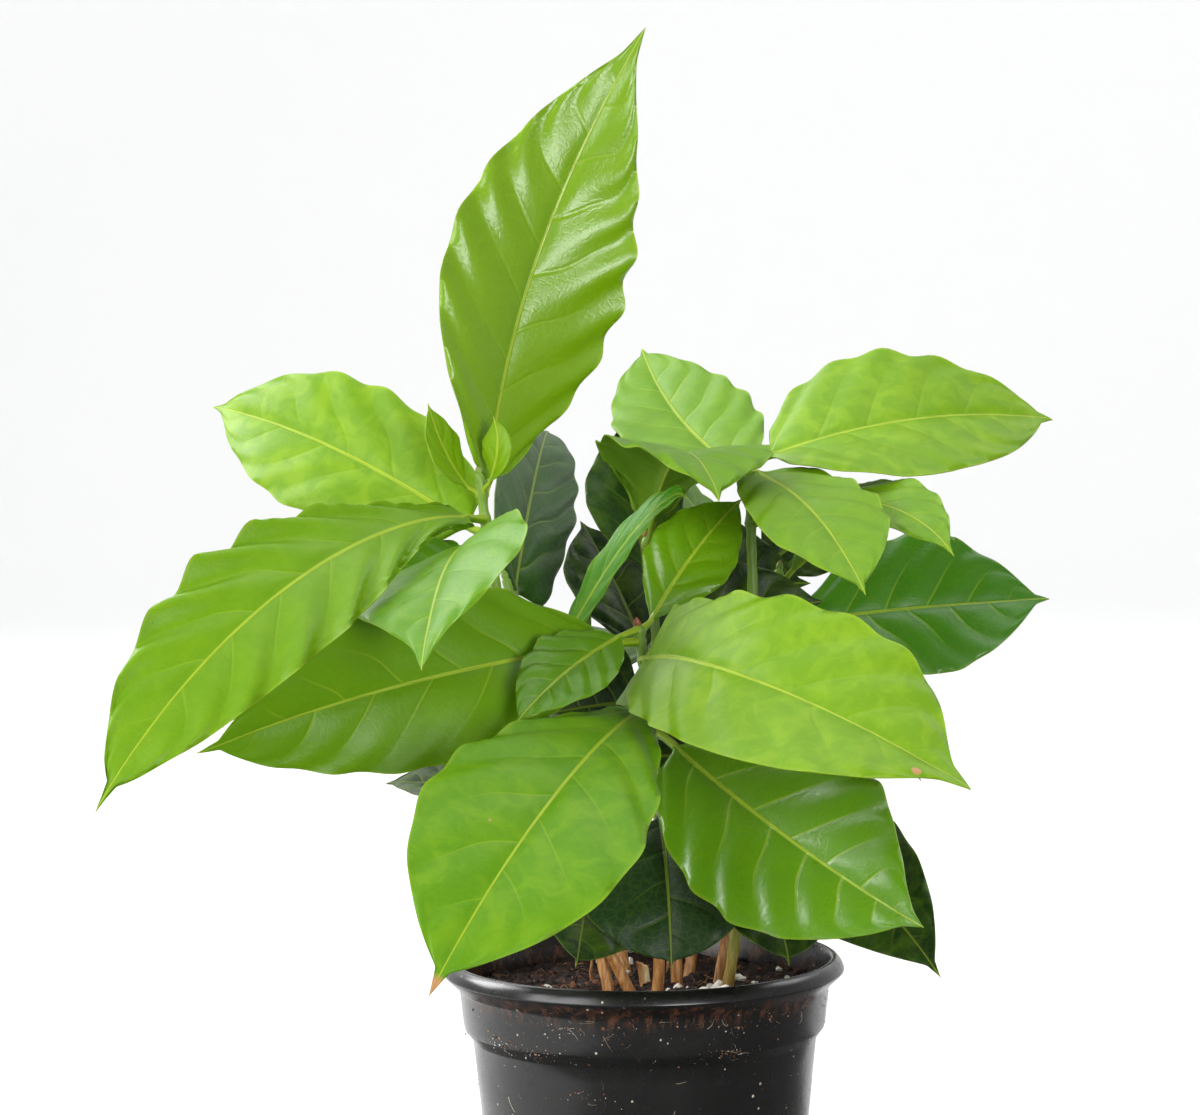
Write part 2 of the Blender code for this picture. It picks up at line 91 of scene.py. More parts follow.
# Lengths in millimetres of the short waves in its top, how many of each, and their share
CRUMB_WAVES = (9.0, 6.0, 4.0, 2.7, 1.9)
WAVES_OF_EACH = 3
CRUMB_RELIEF = 0.045
# The top is drawn up the wall by this much, from this radius on
WALL_RISE = 0.8
RISE_START = 42
RISE_WIDTH = 6

# Stems, as in the model
STEM_FOOT_Z = 67.0
STEM_FOOT_RADIUS = 1.6
STEM_TOP_RADIUS = 1.3
NODE_SWELLING = 0.35
NODE_WIDTH = 1.6
NODE_RING = 0.5
CLEARANCE = 0.35
# The part of a stem that is under this height is out of sight in the soil
STEM_SHOWN_Z = STEM_FOOT_Z + 8
# Length in millimetres of a stem's slow swellings, and how often each goes round it
KNOBS = ((23, 1), (11, 2), (6, 3))
KNOB_HEIGHT = 0.05
STEM_STEP = 0.9
STEM_SIDES = 20
STEMS = {
    "a": ((-4.5, -5, 85), (-35, -8, 148), (-43, -15, 228)),
    "b": ((3.5, -12, 85), (7, -17, 135), (-1, -30, 188)),
    "c": ((23, -2, 85), (33, -4, 140), (30, 0, 231)),
    "d": ((-10, -3, 85), (-18, 3, 125), (-37, 14, 197)),
    "e": ((9, 7, 85), (9, 8, 135), (2, 12, 208)),
    "f": ((21, 9, 85), (30, 14, 135), (39, 20, 198)),
    "g": ((-5, 22, 85), (-14, 34, 130), (-15, 45, 194)),
    "h": ((13, 22, 85), (20, 34, 130), (30, 46, 196)),
}
STUB = ((1, 10, 67), (0.9, 10, 85), (-0.8, 9.6, 90))
STUB_RADIUS = 1.5

# Leaves, as in the model, with finer steps
STALK_RADIUS = 1.1
BODY_SHARE = 0.95
TIP_SHARE = 0.2
TIP_BLEND = 3.0
WAVE_RISE = 1.6
ROW_STEP = 1.1
HALF_COLUMNS = 18
COLUMN_CROWDING = 1.4
STALK_ROWS = 7
STALK_SINK = 1.0
STALK_FOOT = 2.5
TIP_HALF_WIDTH = 0.12
# How the side veins bend towards the tip: lag(v) = LAG v + LAG_BEND v^3, and |u|^EDGE_POWER
# of what is left of it, to run along the edge
LAG = 1.25
LAG_BEND = 0.25
EDGE_POWER = 5


def leaf(z, heading, pitch, length, width, **form):
    """One leaf's design: where it leaves its stem, where it points and its size.

    z is the height of its node, heading its compass turn from +X and pitch its climb.
    droop and sweep are how far the pitch falls and the heading turns up to the tip, and
    bend puts that change late. roll and twist turn the blade about its midrib, fold lifts
    its halves, curl rolls its edges down, wave is the height of the edge's waves, peak is
    where the blade is widest, full and root shape its outer and inner halves, and tip is
    how wide the drawn-out tip starts. age runs from 0, just opened, to 1, old.
    """
    usual = {
        "droop": 0, "sweep": 0, "bend": 1.0, "roll": 0, "twist": 0, "fold": 12, "curl": 0.12,
        "wave": 0.5, "waves": 6, "peak": 0.45, "full": 0.9, "root": form.get("full", 0.9),
        "tip": 0.25, "stalk": 7, "age": 0.5,
    }
    sizes = {"z": z, "heading": heading, "pitch": pitch, "length": length, "width": width}
    return {**usual, **sizes, **form}


# Each leaf by its label, whose letter is the stem that it grows from
LEAVES = {
    "a1": leaf(116, -84, 6, 54, 36, droop=44, sweep=-16, roll=30, waves=5, full=0.62, tip=0.12,
               age=1.0),
    "a2": leaf(128, 222, 22, 47, 30, droop=58, roll=20, waves=5, age=0.95),
    "a3": leaf(140, 190, 10, 35, 30, droop=15, sweep=-25, roll=15, waves=5, age=0.95),
    "a4": leaf(202, 212, 3, 36, 23, droop=20, roll=46, wave=0.4, waves=5, root=0.4, stalk=2.5,
               age=0.45),
    "a5": leaf(206, -106, 20, 93, 51, droop=54, sweep=12, bend=0.55, roll=-33, twist=19, peak=0.52,
               full=1.55, root=1.0, age=0.2),
    "a6": leaf(215, 240, 8, 157, 41, droop=63, sweep=-25, bend=0.9, roll=31, twist=12, fold=10,
               wave=2.0, waves=8, peak=0.54, full=0.69, root=1.1, age=0.15),
    "a7": leaf(211, 157, 32, 103, 41, droop=30, sweep=-33, roll=47, twist=16, peak=0.46, full=0.83,
               root=0.36, stalk=3, age=0.1),
    "a8": leaf(222, 63, 76, 132, 55, droop=17, sweep=-77, roll=-83, twist=-8, wave=1.0, waves=8,
               peak=0.4, full=1.0, root=0.98, stalk=3, age=0.05),
    "a9": leaf(222, 205, 52, 26, 12, droop=-23, sweep=11, roll=48, twist=48, wave=0.3, waves=3,
               stalk=2, age=0.05),
    "a10": leaf(223, -54, 57, 19, 10, droop=-52, sweep=54, roll=-65, twist=-29, wave=0.2, waves=3,
                stalk=2, age=0.05),
    "b1": leaf(138, -86, -20, 49, 46, droop=60, roll=-10, waves=5, peak=0.55, full=0.55, tip=0.1,
               age=1.0),
    "b2": leaf(158, -45, -29, 114, 54, droop=-23, sweep=-22, roll=-37, twist=-23, waves=7,
               peak=0.43, full=1.05, root=0.65, age=0.45),
    "b3": leaf(164, -101, 6, 142, 56, droop=55, sweep=-29, bend=0.85, roll=6, twist=32, waves=7,
               peak=0.6, full=0.82, root=0.84, age=0.3),
    "b4": leaf(178, -80, 11, 133, 52, droop=42, sweep=61, roll=-58, twist=41, wave=0.7, waves=7,
               peak=0.64, full=0.8, root=0.4, tip=0.6, stalk=4, age=0.1),
    "b5": leaf(183, 206, -3, 120, 46, droop=14, sweep=1, roll=46, twist=70, waves=7, peak=0.42,
               full=0.66, root=0.83, age=0.5),
    "b6": leaf(186, 37, 55, 45, 24, droop=24, sweep=6, roll=-35, twist=-11, wave=0.4, full=0.78,
               root=1.2, stalk=3, age=0.3),
    "b7": leaf(186, 229, -12, 48, 23, droop=23, sweep=3, roll=32, twist=-9, wave=0.4, stalk=5,
               age=0.35),
    "c1": leaf(118, -79, 5, 54, 37, droop=50, sweep=-3, waves=5, full=0.58, tip=0.12, age=1.0),
    "c2": leaf(125, -64, 8, 94, 36, droop=46, sweep=6, roll=-46, full=0.8, age=0.9),
    "c3": leaf(163, -60, 18, 83, 34, droop=55, sweep=-6, roll=-20, age=0.9),
    "c4": leaf(212, -37, 21, 73, 28, droop=53, sweep=-29, roll=-6, twist=-17, peak=0.41, age=0.2),
    "c5": leaf(225, 116, 15, 85, 39, droop=-10, sweep=-17, roll=13, twist=9, wave=0.4, peak=0.36,
               full=0.65, root=0.78, age=0.2),
    "c6": leaf(226, -69, -4, 84, 34, droop=28, sweep=-6, roll=-9, wave=0.6, peak=0.53, full=0.85,
               root=0.4, stalk=4, age=0.15),
    "c7": leaf(229, 4, 20, 86, 60, droop=30, sweep=27, roll=-16, twist=-33, peak=0.34, full=0.74,
               root=0.94, stalk=3, age=0.1),
    "c8": leaf(148, 182, 4, 29, 34, droop=10, roll=74, wave=0.4, waves=4, stalk=5, age=1.0),
    "d1": leaf(168, -29, 58, 79, 15, droop=71, sweep=-63, bend=2.7, roll=-53, wave=0.3, stalk=8,
               age=0.5),
    "d2": leaf(190, 81, 44, 104, 30, droop=43, sweep=7, roll=-66, twist=45, wave=0.4, peak=0.32,
               full=0.5, root=0.28, stalk=2.5, age=0.9),
    "e1": leaf(162, 196, 2, 26, 36, droop=12, roll=70, waves=5, root=0.4, tip=0.15, stalk=3,
               age=1.0),
    "e2": leaf(170, 128, 58, 44, 36, droop=15, waves=5, age=0.95),
    "e3": leaf(178, -2, 20, 40, 29, droop=12, roll=-76, wave=0.4, waves=4, stalk=5, age=1.0),
    "e4": leaf(192, 104, 58, 48, 28, droop=10, waves=5, age=0.85),
    "e5": leaf(205, -71, 78, 75, 47, droop=116, sweep=-6, bend=0.7, roll=2, twist=7, wave=1.2,
               peak=0.52, full=0.95, age=0.2),
    "f1": leaf(182, 12, 6, 70, 45, droop=5, sweep=-7, roll=-53, peak=0.49, full=0.83, root=0.7,
               age=0.75),
    "f2": leaf(194, -60, 35, 44, 18, droop=40, roll=-20, wave=0.4, waves=4, age=0.4),
    "g1": leaf(120, 100, 10, 80, 38, droop=60, wave=0.6, waves=5, age=1.0),
    "g2": leaf(148, 150, 15, 84, 42, droop=50, roll=20, wave=0.6, age=0.9),
    "g3": leaf(160, 80, 25, 95, 42, droop=55, wave=0.7, age=0.85),
    "g4": leaf(184, -14, 14, 56, 42, droop=14, roll=-72, wave=0.6, age=0.95),
    "g5": leaf(192, 10, 46, 24, 16, droop=20, wave=0.4, waves=4, stalk=5, age=0.25),
    "h1": leaf(118, 50, 10, 76, 38, droop=60, wave=0.6, waves=5, age=1.0),
    "h2": leaf(146, 48, 15, 78, 40, droop=55, roll=-10, wave=0.6, age=0.9),
    "h3": leaf(150, 115, 10, 90, 42, droop=60, wave=0.7, age=0.8),
    "h4": leaf(192, 2, 42, 33, 26, droop=22, roll=-66, waves=5, stalk=5, age=0.95),
    "h5": leaf(194, 150, 60, 42, 18, droop=30, wave=0.4, waves=4, stalk=5, age=0.25),
}


def skin(**form):
    """How a blade's skin differs from the usual.

    quilt is how far it swells between its side veins, in millimetres, scallop how much its
    edge goes in and out, gloss how shiny it is, mottle how blotched and veined how plainly
    its side veins show. fresh makes its green younger than its age. spots are dried places:
    millimetres across from the midrib, share along and radius in millimetres.
    """
    usual = {
        "quilt": 0.55, "scallop": 0.025, "gloss": 0.55, "mottle": 0.25, "veined": 0.4,
        "fresh": 0.0, "spots": (),
    }
    return {**usual, **form}


SKINS = {
    "a4": skin(gloss=0.5, fresh=0.1),
    "a5": skin(gloss=0.45, quilt=0.5, veined=0.35, fresh=-0.12),
    "a6": skin(gloss=0.5, quilt=0.5, scallop=0.05, mottle=0.2, veined=0.35),
    "a7": skin(gloss=0.35, mottle=0.8, quilt=0.5, veined=0.25),
    "a8": skin(gloss=1.0, quilt=0.26, scallop=0.03, mottle=0.1, veined=0.35, fresh=0.05),
    "b1": skin(gloss=0.5, mottle=0.0, quilt=0.5, veined=0.15),
    "b2": skin(gloss=1.0, quilt=0.42, mottle=0.05, veined=0.9, fresh=0.15),
    "b3": skin(gloss=0.6, quilt=0.6, mottle=0.4, spots=((0.0, 1.0, 6.0), (9.5, 0.64, 1.0))),
    "b4": skin(gloss=0.45, mottle=0.7, quilt=0.5, veined=0.15, spots=((6.5, 0.905, 1.35),)),
    "b5": skin(gloss=0.62, quilt=0.6, mottle=0.05, veined=0.6, fresh=0.3),
    "b6": skin(gloss=1.0, quilt=0.8, mottle=0.0, veined=0.4, fresh=0.08),
    "b7": skin(gloss=0.8, quilt=1.2, mottle=0.2, veined=0.4, fresh=0.05),
    "c4": skin(gloss=0.35, mottle=0.5, quilt=0.6, veined=0.3),
    "c5": skin(gloss=0.35, mottle=0.3, quilt=0.5, veined=0.5),
    "c6": skin(gloss=0.1, quilt=0.6, mottle=0.3, veined=0.3),
    "c7": skin(gloss=0.35, mottle=0.7, quilt=0.6, veined=0.3),
    "d2": skin(gloss=0.6, quilt=0.6, mottle=0.0, veined=0.4, fresh=0.08),
    "e5": skin(gloss=0.2, mottle=0.2, quilt=0.5, veined=0.3),
    "f1": skin(gloss=0.8, mottle=0.05, quilt=0.6, veined=0.6, fresh=0.2),
}


# Colours and patterns

def linear(code):
    """An sRGB hex colour as linear red, green, blue and an alpha of 1.

    A colour that is linear already stays as it is.
    """
    if not isinstance(code, str):
        return code
    shares = [int(code[k:k + 2], 16) / 255 for k in (1, 3, 5)]
    channels = [c / 12.92 if c <= 0.04045 else ((c + 0.055) / 1.055) ** 2.4 for c in shares]
    return (*channels, 1.0)


def per_metre(size):
    """A texture's Scale for features of this size in millimetres."""
    return 1 / (size * MM)


def add_node(tree, kind, inputs=(), stops=(), out=0, **settings):
    """Adds a node, and gives its output out, or all its outputs where out is None.

    inputs holds the values and outputs that go into its sockets: a list fills the first
    ones, and a mapping those that it names. stops fills a colour ramp. Colours may be hex.
    """
    node = tree.nodes.new("ShaderNode" + kind)
    for name, value in settings.items():
        setattr(node, name, value)
    pairs = inputs.items() if isinstance(inputs, dict) else enumerate(inputs)
    for name, value in pairs:
        if isinstance(value, bpy.types.NodeSocket):
            tree.links.new(value, node.inputs[name])
        else:
            node.inputs[name].default_value = linear(value)
    if stops:
        elements = node.color_ramp.elements
        for place, _ in stops[2:]:
            elements.new(place)
        for element, (place, colour) in zip(elements, stops):
            element.position = place
            element.color = linear(colour)
    return node.outputs if out is None else node.outputs[out]


def new_material(name):
    """An empty material, and the function that adds nodes to it."""
    material = bpy.data.materials.new(name)
    material.use_nodes = True
    material.node_tree.nodes.clear()
    return material, partial(add_node, material.node_tree)


def panel_number(name, description, default, most):
    """A whole number that the panel shows, from 0 up."""
    return bpy.props.IntProperty(
        name=name, description=description, default=default, min=0, max=most,
    )


def panel_colour(name, description, code):
    """A colour that the panel shows, with an sRGB hex code to start from."""
    return bpy.props.FloatVectorProperty(
        name=name, description=description, default=linear(code), size=4, min=0, max=1,
        subtype="COLOR",
    )


class PlantSizes(bpy.types.PropertyGroup):
    """Sizes that change how the plant is finished."""

    blade_edge: bpy.props.FloatProperty(
        name="Blade edge", description="Thickness of a leaf at its edge",
        default=0.28 * MM, min=0.1 * MM, max=0.7 * MM, subtype="DISTANCE", unit="LENGTH",
    )
    blade_middle: bpy.props.FloatProperty(
        name="Blade middle", description="Thickness of a leaf beside its midrib",
        default=0.5 * MM, min=0.2 * MM, max=0.8 * MM, subtype="DISTANCE", unit="LENGTH",
    )
    crumbs: panel_number("Soil crumbs", "Loose crumbs on the soil", 1500, 4000)
    fibres: panel_number("Soil fibres", "Loose fibres on the soil", 160, 800)
    perlite: panel_number("Perlite grains", "White grains on the soil", 34, 200)
    wall_crumbs: panel_number("Crumbs on the pot", "Brown crumbs stuck to its outside", 1000, 4000)
    wall_grit: panel_number("Grit on the pot", "Pale specks stuck to its outside", 900, 4000)
    wall_fibres: panel_number("Fibres on the pot", "Pale fibres stuck to its outside", 90, 400)


class PlantColours(bpy.types.PropertyGroup):
    """Colours of the plant, its pot and the stage."""

    young: panel_colour("Young leaf", "Colour of a leaf that has just opened", "#76a006")
    grown: panel_colour("Grown leaf", "Colour of a leaf in its prime", "#458410")
    old: panel_colour("Old leaf", "Colour of the lowest leaves", "#1b3613")
    blotch: panel_colour("Leaf blotch", "Yellow-green of the patches on young leaves", "#93b81e")
    rib: panel_colour("Midrib", "Colour of the midrib and side veins", "#b2c838")
    under: panel_colour("Underside", "Paler green of a leaf's underside", "#6f8b30")
    dry: panel_colour("Dry tip", "Brown of a dried tip or spot", "#c0935f")
    bark: panel_colour("Bark", "Brown of the woody foot of a stem", "#a8743f")
    shoot: panel_colour("Shoot", "Green of the upper part of a stem", "#6f8f34")
    wood: panel_colour("Cut wood", "Cream of the cut stub", "#ecdcae")
    pot: panel_colour("Pot", "Black of the pot's plastic", "#121211")
    peat: panel_colour("Peat", "Dark brown of the moist soil", "#21110c")
    perlite: panel_colour("Perlite", "Dusty white of the perlite grains", "#dcd6ca")
    floor: panel_colour("Floor", "Colour of the floor and backdrop", "#d8d8d8")


# Meshes

def new_piece(name, points, faces, material, replaced=()):
    """A mesh piece from points in millimetres, at the origin, riding with the whole object."""
    mesh = bpy.data.meshes.new(name)
    mesh.from_pydata((np.asarray(points) * MM).tolist(), [], faces)
    mesh.update()
    mesh.materials.append(material)
    piece = bpy.data.objects.new(name, mesh)
    bpy.context.scene.collection.objects.link(piece)
    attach(piece, "root")
    if replaced:
        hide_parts(*replaced)
    return piece


def smooth(piece, angle):
    """Shades a piece smoothly, but keeps edges sharper than angle in degrees."""
    piece.data.shade_smooth()
    piece.data.set_sharp_from_angle(angle=math.radians(angle))


def write_attribute(piece, name, values):
    """Stores a vector, or one value three times, for each point: its material reads it."""
    values = np.asarray(values, np.float32)
    if values.ndim == 1:
        values = np.repeat(values[:, None], 3, 1)
    attribute = piece.data.attributes.new(name, "FLOAT_VECTOR", "POINT")
    attribute.data.foreach_set("vector", values.ravel())


def unit(vectors):
    """The vectors, each brought to a length of 1."""
    return vectors / np.linalg.norm(vectors, axis=-1, keepdims=True)


def ring_faces(rows, count, first=0):
    """Quads between rings of points that follow each other, each ring closed on itself."""
    low = first + np.arange(rows - 1)[:, None] * count + np.arange(count)[None]
    after = first + np.arange(rows - 1)[:, None] * count + (np.arange(count)[None] + 1) % count
    return np.stack([low, after, after + count, low + count], -1).reshape(-1, 4).tolist()


def cap_faces(count, first, middle, turned=False):
    """A fan of triangles from a ring to its middle point."""
    around = first + np.arange(count)
    after = first + (np.arange(count) + 1) % count
    pair = (after, around) if not turned else (around, after)
    return np.stack([*pair, np.full(count, middle)], -1).tolist()


def closed_tube(rings):
    """Points and faces of rings joined into a tube, with a fan over each end."""
    rows, count, _ = rings.shape
    ends = [rings[0].mean(0), rings[-1].mean(0)]
    points = np.vstack([rings.reshape(-1, 3), ends])
    last = (rows - 1) * count
    faces = ring_faces(rows, count)
    faces += cap_faces(count, 0, rows * count)
    faces += cap_faces(count, last, rows * count + 1, turned=True)
    return points, faces


def smoothstep(value):
    """0 below 0, 1 above 1, and 3v^2 - 2v^3 between."""
    value = np.clip(value, 0, 1)
    return value ** 2 * (3 - 2 * value)


def rounded(profile, times):
    """A polyline with its corners cut at a quarter of each edge, several times over."""
    line = np.asarray(profile, float)
    for _ in range(times):
        near = 0.75 * line[:-1] + 0.25 * line[1:]
        far = 0.25 * line[:-1] + 0.75 * line[1:]
        inner = np.stack([near, far], 1).reshape(-1, 2)
        line = np.vstack([line[:1], inner[1:-1], line[-1:]])
    return line


def turned(profile, steps):
    """Rings of a profile of radius and height, turned once about Z."""
    angles = TAU * np.arange(steps) / steps
    radius, z = profile[:, 0][:, None], profile[:, 1][:, None]
    return np.stack([radius * np.cos(angles), radius * np.sin(angles), z + 0 * angles], -1)


# Pot

def pot_profile():
    """Radius and height from the middle of the floor up the inside and down the outside."""
    inside = [
        (0.0, FLOOR),
        (BASE_RADIUS - WALL - 4.0, FLOOR),
        (BASE_RADIUS - WALL - 1.0, FLOOR),
        (BASE_RADIUS - WALL + 0.2, FLOOR + 1.2),
        (BODY_TOP_RADIUS - WALL, BODY_TOP_Z - 0.8),
        (COLLAR_FOOT_RADIUS - WALL, COLLAR_FOOT_Z + 0.6),
        (COLLAR_TOP_RADIUS - WALL, LIP_FOOT_Z + 0.6),
        (RIM_RADIUS - 3.8, POT_HEIGHT - 0.5),
    ]
    outside = [
        (RIM_RADIUS - 2.9, POT_HEIGHT),
        (RIM_RADIUS - 1.7, POT_HEIGHT - 0.5),
        (RIM_RADIUS - 0.7, POT_HEIGHT - 1.7),
        (RIM_RADIUS, LIP_EDGE_Z + 0.4),
        (RIM_RADIUS, LIP_EDGE_Z),
        (RIM_RADIUS - 0.4, LIP_EDGE_Z - 0.5),
        (COLLAR_TOP_RADIUS + 0.8, LIP_FOOT_Z + 0.5),
        (COLLAR_TOP_RADIUS, LIP_FOOT_Z - 0.5),
        (COLLAR_FOOT_RADIUS, COLLAR_FOOT_Z + 0.9),
        (COLLAR_FOOT_RADIUS - 0.7, COLLAR_FOOT_Z),
        (BODY_TOP_RADIUS + 0.3, BODY_TOP_Z + 0.6),
        (BODY_TOP_RADIUS, BODY_TOP_Z),
        (BASE_RADIUS, BASE_ROUND),
        (BASE_RADIUS - 0.5, 0.45),
        (BASE_RADIUS - BASE_ROUND, 0.0),
        (BASE_RADIUS - BASE_ROUND - 3.0, 0.0),
        (0.0, 0.0),
    ]
    return rounded(inside + outside, 2)


def drain_holes():
    """Six upright cutters through the floor, as points and faces."""
    angles = TAU * (np.arange(DRAIN_HOLES) + 0.5) / DRAIN_HOLES
    column = turned(np.array([(DRAIN_RADIUS, -FLOOR), (DRAIN_RADIUS, 2 * FLOOR)]), 48)
    points, faces = closed_tube(column)
    places = DRAIN_CIRCLE * np.stack([np.cos(angles), np.sin(angles), 0 * angles], 1)
    all_points = (points[None] + places[:, None]).reshape(-1, 3)
    all_faces = []
    for first in range(0, len(all_points), len(points)):
        all_faces += [[first + i for i in face] for face in faces]
    return all_points, all_faces


def pot_plastic(colours):
    """Polypropylene, injection moulded in black: satin, with dust and dried splashes on it."""
    material, add = new_material("black_polypropylene_moulded")
    place = add("TexCoord", out="Object")
    cloudy = add("TexNoise", {
        "Vector": place, "Scale": per_metre(14), "Detail": 6.0, "Roughness": 0.65,
    })
    # Grain of the mould, 0.35 mm, is what breaks the long highlights up
    grain = add("TexNoise", {"Vector": place, "Scale": per_metre(0.35), "Detail": 2.0})
    # Dust lies in fine streaks that the watering left
    streaky_place = add("Mapping", {"Vector": place, "Scale": (1.0, 1.0, 0.3)})
    streaks = add("TexNoise", {
        "Vector": streaky_place, "Scale": per_metre(2.5), "Detail": 7.0, "Roughness": 0.75,
    })
    dust = add("MapRange", [streaks, 0.55, 0.8, 0.0, 0.14])
    # Under the lip, 82 to 89 mm up, splashed peat has dried on
    height = add("SeparateXYZ", [place], out=2)
    up = add("Math", [height, 10.0], operation="MULTIPLY")
    sheltered = add("ValToRGB", [up], stops=[
        (0.81, "#000000"), (0.85, "#ffffff"), (0.88, "#ffffff"), (0.89, "#000000"),
    ])
    dusty = add("Mix", {0: dust, MIX_A: colours.pot, MIX_B: "#463d36"}, **OF_COLOURS)
    clots = add("MapRange", [streaks, 0.48, 0.62, 0.0, 0.85])
    splashed = add("Math", [clots, sheltered], operation="MULTIPLY")
    dusty = add("Mix", {0: splashed, MIX_A: dusty, MIX_B: "#5e3a26"}, **OF_COLOURS)
    # Dried splashes: pale specks of 0.2 to 0.5 mm, thicker where the dust is
    specks = add("TexVoronoi", {"Vector": place, "Scale": per_metre(1.9)}, out=None)
    draw = add("SeparateColor", [specks["Color"]], out=None)
    crowd = add("Math", [draw[0], cloudy], operation="MULTIPLY")
    size = add("MapRange", [crowd, 0.36, 0.6, 0.0, 0.24])
    speck = add("Math", [specks["Distance"], size], operation="LESS_THAN")
    tone = add("ValToRGB", [draw[1]], stops=[(0.2, "#6a3f28"), (0.5, "#8d7f70"), (0.9, "#c9bda6")])
    colour = add("Mix", {0: speck, MIX_A: dusty, MIX_B: tone}, **OF_COLOURS)
    roughness = add("MapRange", [cloudy, 0.3, 0.7, 0.2, 0.33])
    height = add("Math", [cloudy, 6.0, grain], operation="MULTIPLY_ADD")
    bump = add("Bump", {"Height": height, "Strength": 0.2, "Distance": 0.02 * MM})
    shader = add("BsdfPrincipled", {
        "Base Color": colour, "Roughness": roughness, "IOR": 1.49, "Normal": bump,
    })
    add("OutputMaterial", [shader], out=None)
    return material


class PLANT_OT_pot(bpy.types.Operator):
    """Turned pot with a flared lip, a collar and drain holes"""

    bl_idname = "plant.pot"
    bl_label = "Pot"

    def execute(self, context):
        material = pot_plastic(context.scene.plant_colours)
        rings = turned(pot_profile(), POT_STEPS)
        middle = rings[1:-1]
        points = np.vstack([middle.reshape(-1, 3), rings[0].mean(0), rings[-1].mean(0)])
        faces = ring_faces(len(middle), POT_STEPS)
        count = len(middle) * POT_STEPS
        faces += cap_faces(POT_STEPS, 0, count)
        faces += cap_faces(POT_STEPS, count - POT_STEPS, count + 1, turned=True)
        pot = new_piece("nursery_pot", points, faces, material, ["pot"])
        cutter = bpy.data.objects.new("cutter", bpy.data.meshes.new("cutter"))
        hole_points, hole_faces = drain_holes()
        cutter.data.from_pydata((hole_points * MM).tolist(), [], hole_faces)
        context.scene.collection.objects.link(cutter)
        cut = pot.modifiers.new("Drain holes", "BOOLEAN")
        cut.object = cutter
        cut.solver = "EXACT"
        context.view_layer.update()
        graph = context.evaluated_depsgraph_get()
        whole = bpy.data.meshes.new_from_object(pot.evaluated_get(graph))
        pot.modifiers.clear()
        pot.data = whole
        bpy.data.objects.remove(cutter)
        smooth(pot, 40)
        return {"FINISHED"}


# Soil

def bump(x, y):
    """Height of the soil's crumbs and hollows over its level: crossed slow waves."""
    wave = np.sin(0.23 * x + 0.6) * np.cos(0.19 * y) + 0.6 * np.sin(0.41 * y - 0.33 * x)
    return SOIL_BUMP * wave / 1.6


def crumbly(x, y):
    """Fine relief of the soil: the creases where pairs of short crossed waves meet."""
    draw = np.random.default_rng(SEED)
    total = 0 * x
    for length in CRUMB_WAVES:
        for _ in range(WAVES_OF_EACH):
            heading, phase = draw.uniform(0, TAU, 2)
            along = (x * np.cos(heading) + y * np.sin(heading)) / length
            total = total + length * (1 - 2 * np.abs(np.sin(TAU * along / 2 + phase)))
    return CRUMB_RELIEF * total


def soil_height(x, y):
    """Height of the soil's surface, drawn a little up the wall near the pot."""
    rise = WALL_RISE * smoothstep((np.hypot(x, y) - RISE_START) / RISE_WIDTH)
    return SOIL_Z + bump(x, y) + crumbly(x, y) + rise


def soil_peat(colours):
    """Moist sphagnum peat: dull dark brown crumbs that hold paler bits of bark and fibre."""
    material, add = new_material("moist_peat")
    place = add("TexCoord", out="Object")
    patches = add("TexNoise", {
        "Vector": place, "Scale": per_metre(5), "Detail": 8.0, "Roughness": 0.7,
    })
    colour = add("ValToRGB", [patches], stops=[
        (0.32, "#120a08"), (0.52, colours.peat), (0.68, "#40271b"), (0.82, "#5e4030"),
    ])
    # Crumbs of about 1.2 mm give the grain that is too fine for the mesh
    crumbs = add("TexVoronoi", {
        "Vector": place, "Scale": per_metre(1.2), "Randomness": 1.0,
    }, out="Distance")
    height = add("Math", [crumbs, patches, 0.5], operation="MULTIPLY_ADD")
    bump_node = add("Bump", {"Height": height, "Strength": 0.9, "Distance": 0.5 * MM}, invert=True)
    shader = add("BsdfPrincipled", {
        "Base Color": colour, "Roughness": 0.85, "IOR": 1.4, "Normal": bump_node,
    })
    add("OutputMaterial", [shader], out=None)
    return material


class PLANT_OT_soil(bpy.types.Operator):
    """Soil that fills the pot, with a crumbly top"""

    bl_idname = "plant.soil"
    bl_label = "Soil"

    def execute(self, context):
        material = soil_peat(context.scene.plant_colours)
        side = np.array([
            (BASE_RADIUS - WALL - 1.0 - SOIL_GAP, FLOOR + CLEARANCE),
            (BASE_RADIUS - WALL + 0.2 - SOIL_GAP, FLOOR + 1.2),
            (BODY_TOP_RADIUS - WALL - SOIL_GAP, BODY_TOP_Z - 0.8),
            (COLLAR_FOOT_RADIUS - WALL - SOIL_GAP, COLLAR_FOOT_Z + 0.6),
        ])
        wall = turned(side, SOIL_STEPS)
        shares = np.linspace(1, 0.02, SOIL_ROWS)
        top = turned(np.stack([shares * SOIL_REACH, 0 * shares], 1), SOIL_STEPS)
        top[..., 2] = soil_height(top[..., 0], top[..., 1])
        points, faces = closed_tube(np.concatenate([wall, top]))
        soil = new_piece("peat_soil", points, faces, material, ["soil"])
        smooth(soil, 70)
        return {"FINISHED"}


# Places on the soil, and sizes, of the perlite grains that show between the front stems
FRONT_PERLITE = [
    (26, 12, 1.7), (27, 10, 1.5), (25, 9, 1.3), (20, 0, 2.2), (16.5, -1, 1.9), (12, 0, 1.8),
    (9, -1, 1.7), (6.5, 0.5, 1.3), (31, 3, 0.9),
]
FIBRE_POINTS = 7
FIBRE_SIDES = 3
FIBRE_SHARE = np.linspace(0, 1, FIBRE_POINTS)
